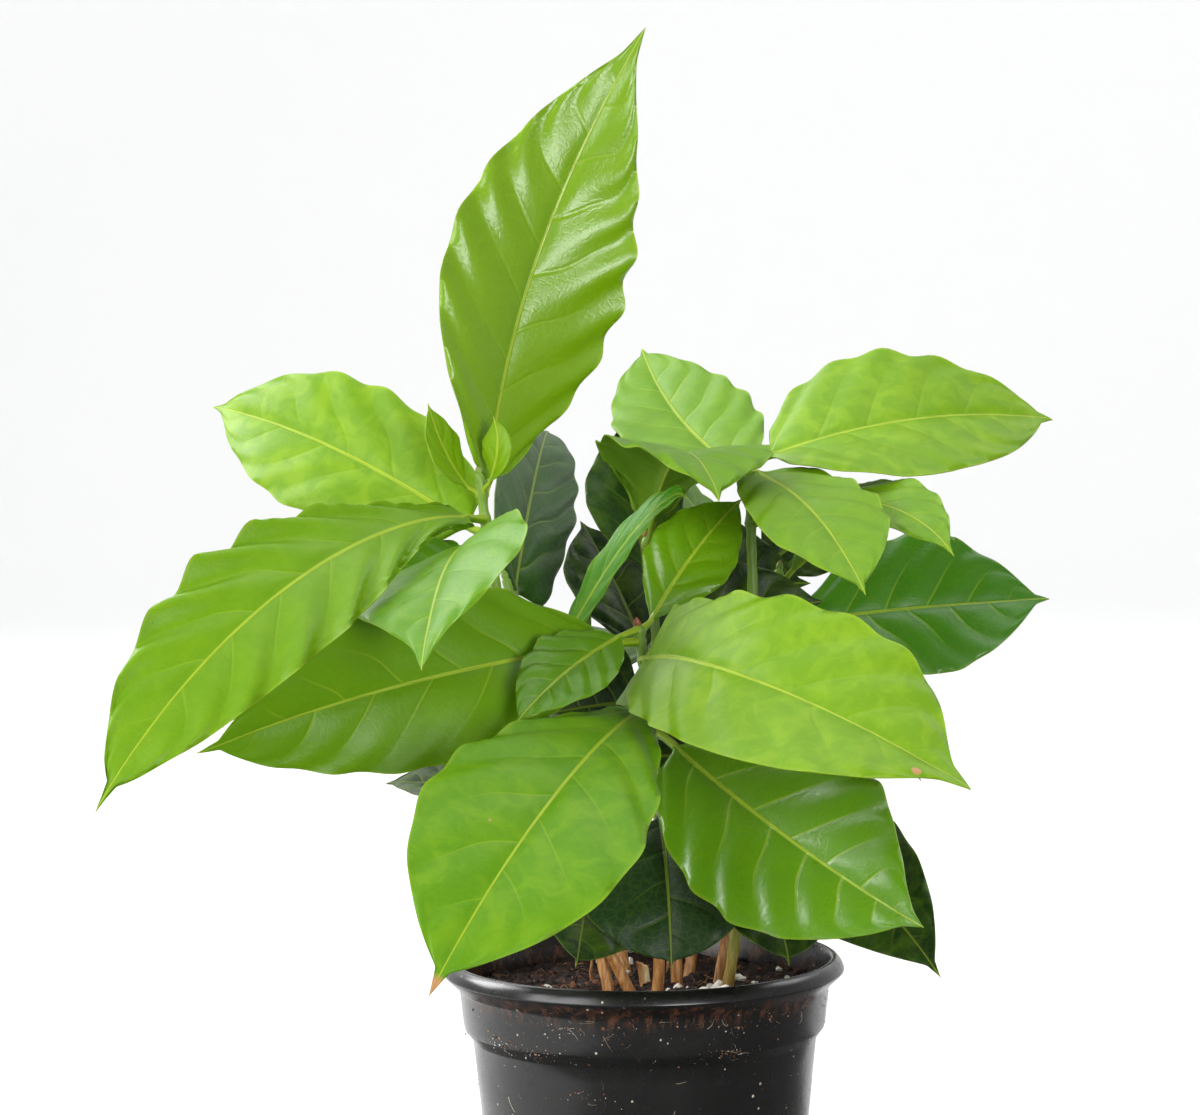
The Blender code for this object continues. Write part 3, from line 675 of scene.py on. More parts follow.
# Grid on each side of a crumb and of a grain, how dented they are, and how far from a
# grain's middle its flat faces are cut, with its radius as 1
CRUMB_GRID, CRUMB_DENTS = 2, 0.12
GRAIN_GRID, GRAIN_DENTS = 8, 0.02
GRAIN_CHIPS, CHIP_DEPTH = 9, 0.62
# How far from the pot's axis crumbs, grains and fibres start, and where fibres stop
CRUMB_REACH, GRAIN_REACH, FIBRE_REACH, FIBRE_EDGE = 47.2, 46.0, 45.0, 46.5
# Share of what sticks to the pot that is in clumps, and their width in degrees. A clump
# spreads down from its top, and the rest thins out down the wall over the given height.
CLUMPED, CLUMP_WIDTH = 0.65, 4.5
CLUMP_TOP, CLUMP_SPREAD = 2.6, 1.9
STUCK_HEIGHT = 82
STUCK_DEPTH = 0.05
# Turn from the front in degrees, and height, of the clumps of crumbs under the pot's lip
WALL_CLUMPS = [
    (-44, 84), (-38, 83), (-31, 84), (-27, 80), (-19, 83), (-12, 80), (-6, 84), (8, 84), (20, 83),
    (31, 80), (40, 84), (47, 82), (60, 84), (84, 82), (118, 84), (150, 81), (186, 84), (225, 83),
    (262, 84), (298, 82), (-50, 74), (-36, 72), (26, 73), (-20, 62),
]


def lump(detail):
    """Points and quads of a ball of unit radius: a cube's grid pushed out to the ball."""
    line = np.linspace(-1, 1, detail + 1)
    u, v = (grid.ravel() for grid in np.meshgrid(line, line, indexing="ij"))
    one = np.ones_like(u)
    sides = [(u, v, one), (-u, v, -one), (one, u, v), (-one, -u, v), (v, one, u), (v, -one, -u)]
    points = np.vstack([np.stack(side, 1) for side in sides])
    cells = np.arange(detail)
    low = (cells[:, None] * (detail + 1) + cells[None]).ravel()
    quads = np.stack([low, low + detail + 1, low + detail + 2, low + 1], 1)
    quads = np.vstack([quads + k * (detail + 1) ** 2 for k in range(6)])
    _, first, place = np.unique(np.round(points, 6), axis=0, return_index=True,
                                return_inverse=True)
    return unit(points[first]), place.ravel()[quads]


def scattered(draw, centres, sizes, detail, dented, chips=0):
    """Many lumps in one mesh, each stretched, dented and turned its own way.

    chips flat faces are cut off each: no point stands out past their random planes. It
    gives points, faces and which lump each point is of.
    """
    number = len(centres)
    ball, quads = lump(detail)
    stretch = draw.uniform(0.6, 1.25, (number, 1, 3))
    dents = 1 + dented * draw.standard_normal((number, len(ball), 1))
    turns = draw.uniform(0, TAU, number)
    shapes = np.repeat(ball[None], number, 0)
    for _ in range(chips):
        facing = unit(draw.standard_normal((number, 1, 3)))
        past = np.maximum((shapes * facing).sum(2, keepdims=True) - CHIP_DEPTH, 0)
        shapes = shapes - past * facing
    shapes = shapes * stretch * dents * sizes[:, None, None]
    x = shapes[..., 0] * np.cos(turns)[:, None] - shapes[..., 1] * np.sin(turns)[:, None]
    y = shapes[..., 0] * np.sin(turns)[:, None] + shapes[..., 1] * np.cos(turns)[:, None]
    points = np.stack([x, y, shapes[..., 2]], -1) + centres[:, None]
    starts = np.arange(number)[:, None, None] * len(ball)
    faces = (quads[None] + starts).reshape(-1, 4).tolist()
    return points.reshape(-1, 3), faces, np.repeat(np.arange(number), len(ball))


def on_soil(draw, number, reach):
    """Random places on the soil's top within a radius."""
    radius = reach * np.sqrt(draw.uniform(0, 1, number))
    angle = draw.uniform(0, TAU, number)
    x, y = radius * np.cos(angle), radius * np.sin(angle)
    return np.stack([x, y, soil_height(x, y)], 1)


def wall_radius(z):
    """The pot's outside radius at heights z up to the edge of its lip."""
    heights = [0, BODY_TOP_Z, COLLAR_FOOT_Z, LIP_FOOT_Z, LIP_EDGE_Z]
    return np.interp(z, heights, [
        BASE_RADIUS, BODY_TOP_RADIUS, COLLAR_FOOT_RADIUS, COLLAR_TOP_RADIUS, RIM_RADIUS - 0.5,
    ])


def on_wall(draw, number):
    """Random places on the pot's outside: over half in the clumps, and the rest anywhere."""
    clumps = np.array(WALL_CLUMPS)[draw.integers(0, len(WALL_CLUMPS), number)]
    clumped = draw.uniform(0, 1, number) < CLUMPED
    turn = clumps[:, 0] + draw.normal(0, CLUMP_WIDTH, number)
    turn = np.where(clumped, turn, draw.uniform(-180, 180, number))
    z = clumps[:, 1] + CLUMP_TOP - CLUMP_SPREAD * np.abs(draw.standard_normal(number))
    anywhere = LIP_FOOT_Z - 1 - STUCK_HEIGHT * draw.uniform(0, 1, number) ** 1.5
    z = np.where(clumped, z, anywhere)
    angle = np.radians(turn - 90)
    radius = wall_radius(z) - STUCK_DEPTH
    return np.stack([radius * np.cos(angle), radius * np.sin(angle), z], 1)


def litter_material(name, colours, roughness):
    """Loose bits, each with its own tone between the given colours, and a fine grain."""
    material, add = new_material(name)
    place = add("TexCoord", out="Object")
    tone = add("Attribute", out="Vector", attribute_name="tone")
    share = add("SeparateXYZ", [tone])
    grain = add("TexNoise", {
        "Vector": place, "Scale": per_metre(0.6), "Detail": 5.0, "Roughness": 0.7,
    })
    mixed = add("Math", [grain, 0.35, share], operation="MULTIPLY_ADD")
    places = np.linspace(0.17, 1.17, len(colours))
    stops = [(min(p, 1.0), colour) for p, colour in zip(places, colours)]
    colour = add("ValToRGB", [mixed], stops=stops)
    rough = add("Bump", {"Height": grain, "Strength": 0.7, "Distance": 0.2 * MM})
    shader = add("BsdfPrincipled", {"Base Color": colour, "Roughness": roughness, "Normal": rough})
    add("OutputMaterial", [shader], out=None)
    return material


def new_litter(name, shapes, tones, material):
    """A piece of loose bits, each in its own tone, from 0 to 1, between the material's."""
    points, faces, owner = shapes
    piece = new_piece(name, points, faces, material)
    write_attribute(piece, "tone", tones[owner])
    return piece


class PLANT_OT_litter(bpy.types.Operator):
    """Crumbs, fibres and perlite grains, loose on the soil and stuck to the pot's outside"""

    bl_idname = "plant.litter"
    bl_label = "Crumbs, fibres and perlite"

    def execute(self, context):
        sizes, colours = context.scene.plant_sizes, context.scene.plant_colours
        draw = np.random.default_rng(SEED + 1)
        peat = litter_material("peat_crumbs", ["#120a08", colours.peat, "#402619", "#6a4228"], 0.85)
        number = sizes.crumbs
        radii = 0.35 + 0.9 * draw.uniform(0, 1, number) ** 2.5
        places = on_soil(draw, number, CRUMB_REACH)
        shapes = scattered(draw, places, radii, CRUMB_GRID, CRUMB_DENTS)
        new_litter("peat_crumbs", shapes, draw.uniform(0, 1, number) ** 1.8, peat)

        white = litter_material("perlite_grains", ["#8f8577", colours.perlite, "#f1eee6"], 0.75)
        number, placed = sizes.perlite, len(FRONT_PERLITE)
        places = on_soil(draw, number, GRAIN_REACH)
        places[:placed, :2] = np.array(FRONT_PERLITE)[:, :2]
        places[:, 2] = soil_height(places[:, 0], places[:, 1]) + 0.4
        radii = draw.uniform(0.8, 1.7, number)
        radii[:placed] = np.array(FRONT_PERLITE)[:, 2]
        shapes = scattered(draw, places, radii, GRAIN_GRID, GRAIN_DENTS, GRAIN_CHIPS)
        grains = new_litter("perlite_grains", shapes, draw.uniform(0.3, 1, number), white)
        smooth(grains, 28)

        straw = litter_material("peat_fibres", ["#2a1810", "#54341e", "#8a6238"], 0.7)
        dried = litter_material("dried_fibres", ["#5a4634", "#9a8a74", "#c9bfae"], 0.7)
        for name, lines, thick, material in (
            ("peat_fibres", soil_fibres(draw, sizes.fibres), 0.24, straw),
            ("wall_fibres", wall_fibres(draw, sizes.wall_fibres), 0.09, dried),
        ):
            number = len(lines[0])
            shapes = fibre_mesh(lines, draw.uniform(0.4, 1, number) * thick)
            new_litter(name, shapes, draw.uniform(0, 1, number), material)

        # On the pot the brown crumbs lie thick under the lip, and the pale grit is finer.
        # least and most are the radii that a bit may have.
        rust = litter_material("dried_crumbs", ["#2a1810", "#583220", "#835238", "#a07c58"], 0.85)
        for name, number, least, most, material in (
            ("wall_crumbs", sizes.wall_crumbs, 0.08, 0.36, rust),
            ("wall_grit", sizes.wall_grit, 0.06, 0.2, white),
        ):
            radii = least + (most - least) * draw.uniform(0, 1, number) ** 3
            shapes = scattered(draw, on_wall(draw, number), radii, CRUMB_GRID, CRUMB_DENTS)
            new_litter(name, shapes, draw.uniform(0, 1, number) ** 1.5, material)
        return {"FINISHED"}


def soil_fibres(draw, number):
    """Centres of fibres that lie on the soil and arch a little, and two directions across."""
    starts = on_soil(draw, number, FIBRE_REACH)
    turns = draw.uniform(0, TAU, number)[:, None] + fibre_bend(draw, number, 1.2)
    step = draw.uniform(3, 11, number)[:, None] / (FIBRE_POINTS - 1)
    x = starts[:, :1] + np.cumsum(step * np.cos(turns), 1)
    y = starts[:, 1:2] + np.cumsum(step * np.sin(turns), 1)
    inside = np.minimum(1, FIBRE_EDGE / np.hypot(x, y))
    x, y = x * inside, y * inside
    arch = draw.uniform(0, 1.2, number)[:, None] * np.sin(np.pi * FIBRE_SHARE)
    across = np.stack([-np.sin(turns), np.cos(turns), 0 * turns], -1)
    upward = np.broadcast_to([0.0, 0.0, 1.0], across.shape)
    return np.stack([x, y, soil_height(x, y) + 0.25 + arch], -1), across, upward


def wall_fibres(draw, number):
    """Centres of fibres that stick to the pot's outside, and two directions across."""
    starts = on_wall(draw, number)
    turns = draw.uniform(0, TAU, number)[:, None] + fibre_bend(draw, number, 2.6)
    step = draw.uniform(1.5, 5, number)[:, None] / (FIBRE_POINTS - 1)
    z = starts[:, 2:] + np.cumsum(step * np.sin(turns), 1)
    z = np.clip(z, 2.0, LIP_FOOT_Z - 1)
    radius = wall_radius(z) + 0.12
    angle = np.arctan2(starts[:, 1], starts[:, 0])[:, None]
    angle = angle + np.cumsum(step * np.cos(turns), 1) / radius
    outward = np.stack([np.cos(angle), np.sin(angle), 0 * angle], -1)
    around = np.stack([-np.sin(angle), np.cos(angle), 0 * angle], -1)
    across = np.cos(turns)[..., None] * [0.0, 0.0, 1.0] - np.sin(turns)[..., None] * around
    centres = radius[..., None] * outward + z[..., None] * np.array([0.0, 0.0, 1.0])
    return centres, across, outward


def fibre_bend(draw, number, most):
    """How far each fibre has turned at its points, up to most radians either way."""
    return draw.uniform(-most, most, number)[:, None] * FIBRE_SHARE


def fibre_mesh(lines, thickness):
    """Thin three-sided tubes round lines of centres, and which tube each point is of."""
    centres, across, outward = lines
    number = len(centres)
    radius = thickness[:, None] * (1 - 0.6 * FIBRE_SHARE)
    angles = TAU * np.arange(FIBRE_SIDES) / FIBRE_SIDES
    rings = centres[:, :, None] + radius[..., None, None] * (
        np.cos(angles)[:, None] * across[:, :, None] + np.sin(angles)[:, None] * outward[:, :, None]
    )
    count = FIBRE_POINTS * FIBRE_SIDES
    faces = np.array(ring_faces(FIBRE_POINTS, FIBRE_SIDES))
    ends = np.array([[0, 2, 1], [count - 3, count - 2, count - 1]])
    offsets = np.arange(number)[:, None, None] * count
    all_faces = (faces[None] + offsets).reshape(-1, 4).tolist()
    all_faces += (ends[None] + offsets).reshape(-1, 3).tolist()
    return rings.reshape(-1, 3), all_faces, np.repeat(np.arange(number), count)


# Stems

def stem_line(design, z):
    """A stem's centres at heights z: a quadratic curve, and its tangent below the soil."""
    start, middle, top = (np.array(point, float) for point in design)
    t = np.linspace(0, 1, 60)[:, None]
    curve = (1 - t) ** 2 * start + 2 * t * (1 - t) * middle + t ** 2 * top
    z = np.atleast_1d(np.asarray(z, float))
    under = np.minimum(z - start[2], 0) / (middle[2] - start[2])
    x = np.interp(z, curve[:, 2], curve[:, 0]) + under * (middle[0] - start[0])
    y = np.interp(z, curve[:, 2], curve[:, 1]) + under * (middle[1] - start[1])
    return np.stack([x, y, z], 1)


def stem_radius(design, z):
    """A stem's radius at heights z, between its swollen nodes."""
    share = np.clip((z - design[0][2]) / (design[2][2] - design[0][2]), 0, 1)
    return STEM_FOOT_RADIUS + (STEM_TOP_RADIUS - STEM_FOOT_RADIUS) * share


def square_to(along):
    """Two directions square to along: to the side, and to the front or back."""
    side = unit(np.cross(along, [0.0, 1.0, 0.0]))
    return side, np.cross(side, along)


def tube_rings(centres, radii, sides):
    """Rings of points round a path, square to it, with no twist about a fixed level axis."""
    side, front = square_to(unit(np.gradient(centres, axis=0)))
    angles = TAU * np.arange(sides) / sides
    spokes = np.cos(angles)[:, None] * front[:, None] + np.sin(angles)[:, None] * side[:, None]
    return centres[:, None] + np.asarray(radii)[..., None] * spokes


def stem_bark(colours):
    """Young coffee stem: thin tan bark with faint cracks, over a smooth green shoot."""
    material, add = new_material("coffee_bark")
    place = add("TexCoord", out="Object")
    stem = add("Attribute", out="Vector", attribute_name="stem")
    share, greenness, _ = add("SeparateXYZ", [stem], out=None)
    long_place = add("Mapping", {"Vector": place, "Scale": (1.0, 1.0, 0.12)})
    # Cracks run up the stem: about 0.6 mm apart and eight times as long
    cracks = add("TexNoise", {
        "Vector": long_place, "Scale": per_metre(0.9), "Detail": 5.0, "Roughness": 0.65,
    })
    patches = add("TexNoise", {"Vector": place, "Scale": per_metre(6), "Detail": 3.0})
    brown = add("ValToRGB", [cracks], stops=[
        (0.3, "#7c4a22"), (0.5, colours.bark), (0.7, "#d3a468"),
    ])
    height = add("Math", [patches, 0.4, share], operation="MULTIPLY_ADD")
    height = add("Math", [height, greenness], operation="ADD")
    green = add("MapRange", [height, 0.42, 0.75])
    colour = add("Mix", {0: green, MIX_A: brown, MIX_B: colours.shoot}, **OF_COLOURS)
    rough = add("Bump", {"Height": cracks, "Strength": 0.45, "Distance": 0.15 * MM})
    shader = add("BsdfPrincipled", {
        "Base Color": colour, "Roughness": 0.42, "IOR": 1.45, "Normal": rough,
    })
    add("OutputMaterial", [shader], out=None)
    return material


def cut_wood(colours):
    """Dry cut wood: cream fibres along it, stained brown in places."""
    material, add = new_material("dry_cut_wood")
    place = add("TexCoord", out="Object")
    tone = add("Attribute", out="Vector", attribute_name="tone")
    long_place = add("Mapping", {"Vector": place, "Scale": (1.0, 1.0, 0.12)})
    grain = add("TexNoise", {
        "Vector": long_place, "Scale": per_metre(0.6), "Detail": 5.0, "Roughness": 0.7,
    })
    stained = add("VectorMath", [grain, (0.9, 0.9, 0.9), tone], operation="MULTIPLY_ADD")
    colour = add("ValToRGB", [stained], stops=[
        (0.36, colours.wood), (0.6, "#c79a5c"), (0.95, "#7c4526"),
    ])
    rough = add("Bump", {"Height": grain, "Strength": 0.6, "Distance": 0.2 * MM})
    shader = add("BsdfPrincipled", {"Base Color": colour, "Roughness": 0.6, "Normal": rough})
    add("OutputMaterial", [shader], out=None)
    return material


def stem_nodes(letter):
    """Heights at which a stem's leaves grow from it."""
    return np.array([design["z"] for label, design in LEAVES.items() if label[0] == letter])


# How much of a stem is green beyond the usual, and how red its bud is
GREEN_STEMS = {"a": 0.16, "c": 0.3, "e": 0.05, "f": 0.1}
RED_BUDS = {"b": 0.7, "e": 0.3, "g": 0.4}
BUD_RADIUS = 0.85
BUD_LENGTH = 3.0
DRY_STICKS = (
    ("dry_stick_left", ((-14.2, 13, 80), (-14.6, 13, 91)), 0.55),
    ("dry_stick_back", ((6, 27, 80), (9, 28, 94)), 0.6),
)


def bud_skin(colours):
    """Bud under its scales: green, and red-brown at the tip where they have dried."""
    material, add = new_material("coffee_bud_scales")
    place = add("TexCoord", out="Object")
    bud = add("Attribute", out="Vector", attribute_name="bud")
    share, redness, _ = add("SeparateXYZ", [bud], out=None)
    patches = add("TexNoise", {"Vector": place, "Scale": per_metre(1.5), "Detail": 3.0})
    dry = add("Math", [share, patches], operation="MULTIPLY")
    dry = add("Math", [dry, redness], operation="ADD")
    colour = add("ValToRGB", [dry], stops=[
        (0.3, colours.shoot), (0.6, "#8a6a34"), (0.95, "#7c4028"),
    ])
    shader = add("BsdfPrincipled", {"Base Color": colour, "Roughness": 0.4, "IOR": 1.45})
    add("OutputMaterial", [shader], out=None)
    return material


class PLANT_OT_stems(bpy.types.Operator):
    """Eight stems, swollen at their nodes"""

    bl_idname = "plant.stems"
    bl_label = "Stems"

    def execute(self, context):
        material = stem_bark(context.scene.plant_colours)
        for letter, design in STEMS.items():
            draw = np.random.default_rng(SEED + ord(letter))
            top = design[2][2]
            heights = np.arange(STEM_SHOWN_Z, top + STEM_STEP, STEM_STEP)
            heights = np.minimum(heights, top)
            gaps = heights[:, None] - stem_nodes(letter)[None]
            swollen = np.exp(-(gaps / NODE_WIDTH) ** 2).max(1)
            swollen = swollen + 0.5 * np.exp(-(gaps / NODE_RING) ** 2).max(1)
            taper = 1 - smoothstep((heights - top + 1.5) / 1.6) * 0.75
            angles = TAU * np.arange(STEM_SIDES) / STEM_SIDES
            phases = draw.uniform(0, TAU, len(KNOBS))
            knobbly = sum(
                np.sin(heights[:, None] * TAU / length + turns * angles + phase)
                for (length, turns), phase in zip(KNOBS, phases)
            )
            radii = (stem_radius(design, heights) + NODE_SWELLING * swollen)[:, None]
            radii = (radii + KNOB_HEIGHT * knobbly) * taper[:, None]
            rings = tube_rings(stem_line(design, heights), radii, STEM_SIDES)
            points, faces = closed_tube(rings)
            stem = new_piece(
                f"stem_{letter}_bark", points, faces, material, [f"stem_{letter}"],
            )
            share = (heights - SOIL_Z) / (top - SOIL_Z)
            share = np.append(np.repeat(share, STEM_SIDES), [share[0], share[-1]])
            greenness = np.full(len(share), GREEN_STEMS.get(letter, 0.0))
            write_attribute(stem, "stem", np.stack([share, greenness, 0 * share], 1))
            smooth(stem, 70)
        return {"FINISHED"}


class PLANT_OT_stub(bpy.types.Operator):
    """Cut foot of a seedling that was thinned out, and two dry sticks in the soil"""

    bl_idname = "plant.stub"
    bl_label = "Cut stub and dry sticks"

    def execute(self, context):
        material = cut_wood(context.scene.plant_colours)
        draw = np.random.default_rng(SEED + 2)
        heights = np.arange(STEM_SHOWN_Z, STUB[2][2] + 0.1, 0.5)
        rings = tube_rings(
            stem_line(STUB, heights), STUB_RADIUS * np.ones((len(heights), 1)), STEM_SIDES,
        )
        # The cut slants, and the bark side is split off a little lower
        centres = rings.mean(1, keepdims=True)
        across = (rings - centres)[..., 0] / STUB_RADIUS
        split = draw.uniform(-0.25, 0.25, STEM_SIDES)
        top = STUB[2][2] - 0.9 * (1 + across) + split
        rings[..., 2] = np.minimum(rings[..., 2], top)
        rings[..., 1] = centres[..., 1] + 0.75 * (rings[..., 1] - centres[..., 1])
        points, faces = closed_tube(rings)
        stub = new_piece("cut_stub_wood", points, faces, material, ["cut_stub"])
        stain = 0.35 * np.abs(points[:, 0] - STUB[1][0]) / STUB_RADIUS - 0.1
        write_attribute(stub, "tone", stain)
        smooth(stub, 40)
        for name, line, radius in DRY_STICKS:
            line = np.array(line, float)
            share = np.linspace(0, 1, 24)[:, None]
            centres = (1 - share) * line[0] + share * line[1]
            centres[:, 0] += 0.25 * np.sin(9 * share[:, 0])
            rings = tube_rings(centres, radius * (1 - 0.35 * share), 12)
            points, faces = closed_tube(rings)
            stick = new_piece(name, points, faces, material)
            write_attribute(stick, "tone", np.full(len(points), 0.4))
            smooth(stick, 60)
        return {"FINISHED"}


class PLANT_OT_buds(bpy.types.Operator):
    """Growing tip of each stem: a pointed bud between two small scales"""

    bl_idname = "plant.buds"
    bl_label = "Buds"

    def execute(self, context):
        material = bud_skin(context.scene.plant_colours)
        for letter, design in STEMS.items():
            top = np.array(design[2], float)
            _, below = stem_line(design, [top[2], top[2] - 6])
            along = unit(top - below)
            side, front = square_to(along)
            rows = np.linspace(0, 1, 14)[:, None]
            angles = TAU * np.arange(STEM_SIDES) / STEM_SIDES
            # Two scales stand to the left and right of the bud, so it's wider that way
            plump = np.sin(np.pi * (0.18 + 0.8 * rows)) ** 0.8
            wide = BUD_RADIUS * plump * (1 + 0.35 * np.cos(2 * angles) * (1 - rows))
            climb = BUD_LENGTH * rows * (1 - 0.25 * np.sin(angles) ** 2 * (1 - rows))
            spokes = np.cos(angles)[:, None] * side + np.sin(angles)[:, None] * front
            rings = top + (climb[..., None] - 1.2) * along + wide[..., None] * spokes
            points, faces = closed_tube(rings)
            bud = new_piece(f"bud_{letter}", points, faces, material)
            share = np.append(np.repeat(rows[:, 0], STEM_SIDES), [0, 1])
            redness = np.full(len(points), RED_BUDS.get(letter, 0.0))
            write_attribute(bud, "bud", np.stack([share, redness, 0 * share], 1))
            smooth(bud, 50)
        return {"FINISHED"}


# Leaves

def half_width(t, design):
    """Half the blade's width at share t of its length: a skewed sine and a drawn-out tip."""
    peak = design["peak"]
    skew = math.log(0.5) / math.log(peak / BODY_SHARE)
    power = np.where(t < peak, design["root"], design["full"])
    arch = np.sin(np.pi * np.clip(t / BODY_SHARE, 0, 1) ** skew)
    body = np.maximum(arch, 0) ** power
    drip = design["tip"] * np.clip((1 - t) / TIP_SHARE, 0, 1)
    return design["width"] / 2 * (body ** TIP_BLEND + drip ** TIP_BLEND) ** (1 / TIP_BLEND)


def turned_about(first, second, angle):
    """Two unit vectors turned in their own plane."""
    cosine, sine = np.cos(angle), np.sin(angle)
    return first * cosine + second * sine, second * cosine - first * sine


def midrib(stem, design, reach):
    """Centres and the across and upward directions at arc lengths from the blade's base."""
    length = design["length"]
    fine = np.linspace(-design["stalk"], length, 400)
    t = np.clip(fine / length, 0, 1) ** design["bend"]
    heading = np.radians(design["heading"] + design["sweep"] * t)
    pitch = np.radians(design["pitch"] - design["droop"] * t)
    along = np.stack([
        np.cos(pitch) * np.cos(heading), np.cos(pitch) * np.sin(heading), np.sin(pitch),
    ], 1)
    steps = (along[1:] + along[:-1]) / 2 * np.diff(fine)[:, None]
    out = stem_radius(stem, design["z"]) + NODE_SWELLING + CLEARANCE
    out += STALK_RADIUS * abs(math.sin(pitch[0]))
    outward = np.array([math.cos(heading[0]), math.sin(heading[0]), 0.0])
    start = stem_line(stem, design["z"])[0] + out * outward
    centres = start + np.vstack([np.zeros(3), np.cumsum(steps, 0)])
    across = np.stack([np.sin(heading), -np.cos(heading), 0 * heading], 1)

    def at(values):
        """Values of the fine line, read at the rows' arc lengths."""
        return np.stack([np.interp(reach, fine, values[:, k]) for k in range(3)], 1)

    before = np.minimum(reach + design["stalk"], 0)[:, None] * along[0]
    centres, along, across = at(centres) + before, unit(at(along)), unit(at(across))
    upward = np.cross(across, along)
    share = np.clip(reach / length, 0, 1)
    roll = np.radians(design["roll"] + design["twist"] * share)[:, None]
    return centres, *turned_about(across, upward, roll)


def lag(v):
    """How many side veins later a vein comes at v times the blade's half width."""
    return LAG * v + LAG_BEND * v ** 3


def vein_phase(design, t, u, draw):
    """Counts side veins along the blade: a half is a vein, and a whole number a swelling.

    Lines of one phase leave the midrib at a wide angle, bend towards the tip and run along
    the edge. With v the distance from the midrib over half the blade's greatest width:
    phase = waves t - lag(v) - (lag(1) - lag(edge)) |u|^5, with a half more on the left and
    a slow wobble.
    """
    edge = half_width(t, design) / design["width"] * 2
    v = np.abs(u) * edge
    to_edge = (lag(1) - lag(edge)) * np.abs(u) ** EDGE_POWER
    wobble = 0.3 * v * (1 - np.abs(u)) * np.sin(TAU * (draw[0] + 2.3 * t + 0.7 * u))
    return design["waves"] * t - lag(v) - to_edge + wobble + np.where(u < 0, 0.5, 0.0)


def vein_gap(design, t, u, half):
    """Distance in millimetres between side veins, square to them: 1 over the phase's slope."""
    greatest = design["width"] / 2
    edge = half_width(t, design) / greatest
    side = np.abs(u)
    along = design["waves"] / design["length"]
    bending = EDGE_POWER * (lag(1) - lag(edge)) * side ** (EDGE_POWER - 1)
    across = (LAG + 3 * LAG_BEND * (side * edge) ** 2) / greatest + bending / half
    return 1 / np.hypot(along, across)


def blade_lift(design, skin_form, t, u, half, draw):
    """Height of the blade's top over its midrib, in millimetres.

    It is fold and curl across the blade, waves that grow towards the edge, swellings that
    are round between the side veins and creased at them, a shallow channel along the
    midrib, and a slow unevenness of its own.
    """
    side = np.abs(u)
    x = u * half
    calm_ends = np.maximum(np.sin(np.pi * t ** 0.8), 0) ** 0.7
    phase = vein_phase(design, t, u, draw)
    tall = 1 + 0.3 * np.sin(TAU * (draw[1] + 1.7 * t))
    ripple = np.cos(TAU * phase) * side ** WAVE_RISE * calm_ends * tall
    fold = math.tan(math.radians(design["fold"]))
    lift = half * (side * fold - design["curl"] * side ** 2) + design["wave"] * ripple
    from_vein = 2 * np.abs(phase % 1 - 0.5)
    swelling = 1 - (1 - from_vein) ** 2.2
    where = (1 - np.exp(-(x / 2.6) ** 2)) * (1 - 0.6 * side ** 3) * calm_ends
    room = smoothstep((half - 3) / 9)
    lift = lift + skin_form["quilt"] * (swelling - 0.6) * where * room
    channel = -0.35 * np.exp(-(x / 1.7) ** 2) * room
    uneven = 0.45 * np.sin(TAU * (draw[2] + 1.3 * t + 0.35 * u)) * side
    uneven = uneven + 0.3 * np.sin(TAU * (draw[3] + 2.9 * t - 0.6 * u)) * side
    return lift + channel + uneven * calm_ends * room, ripple


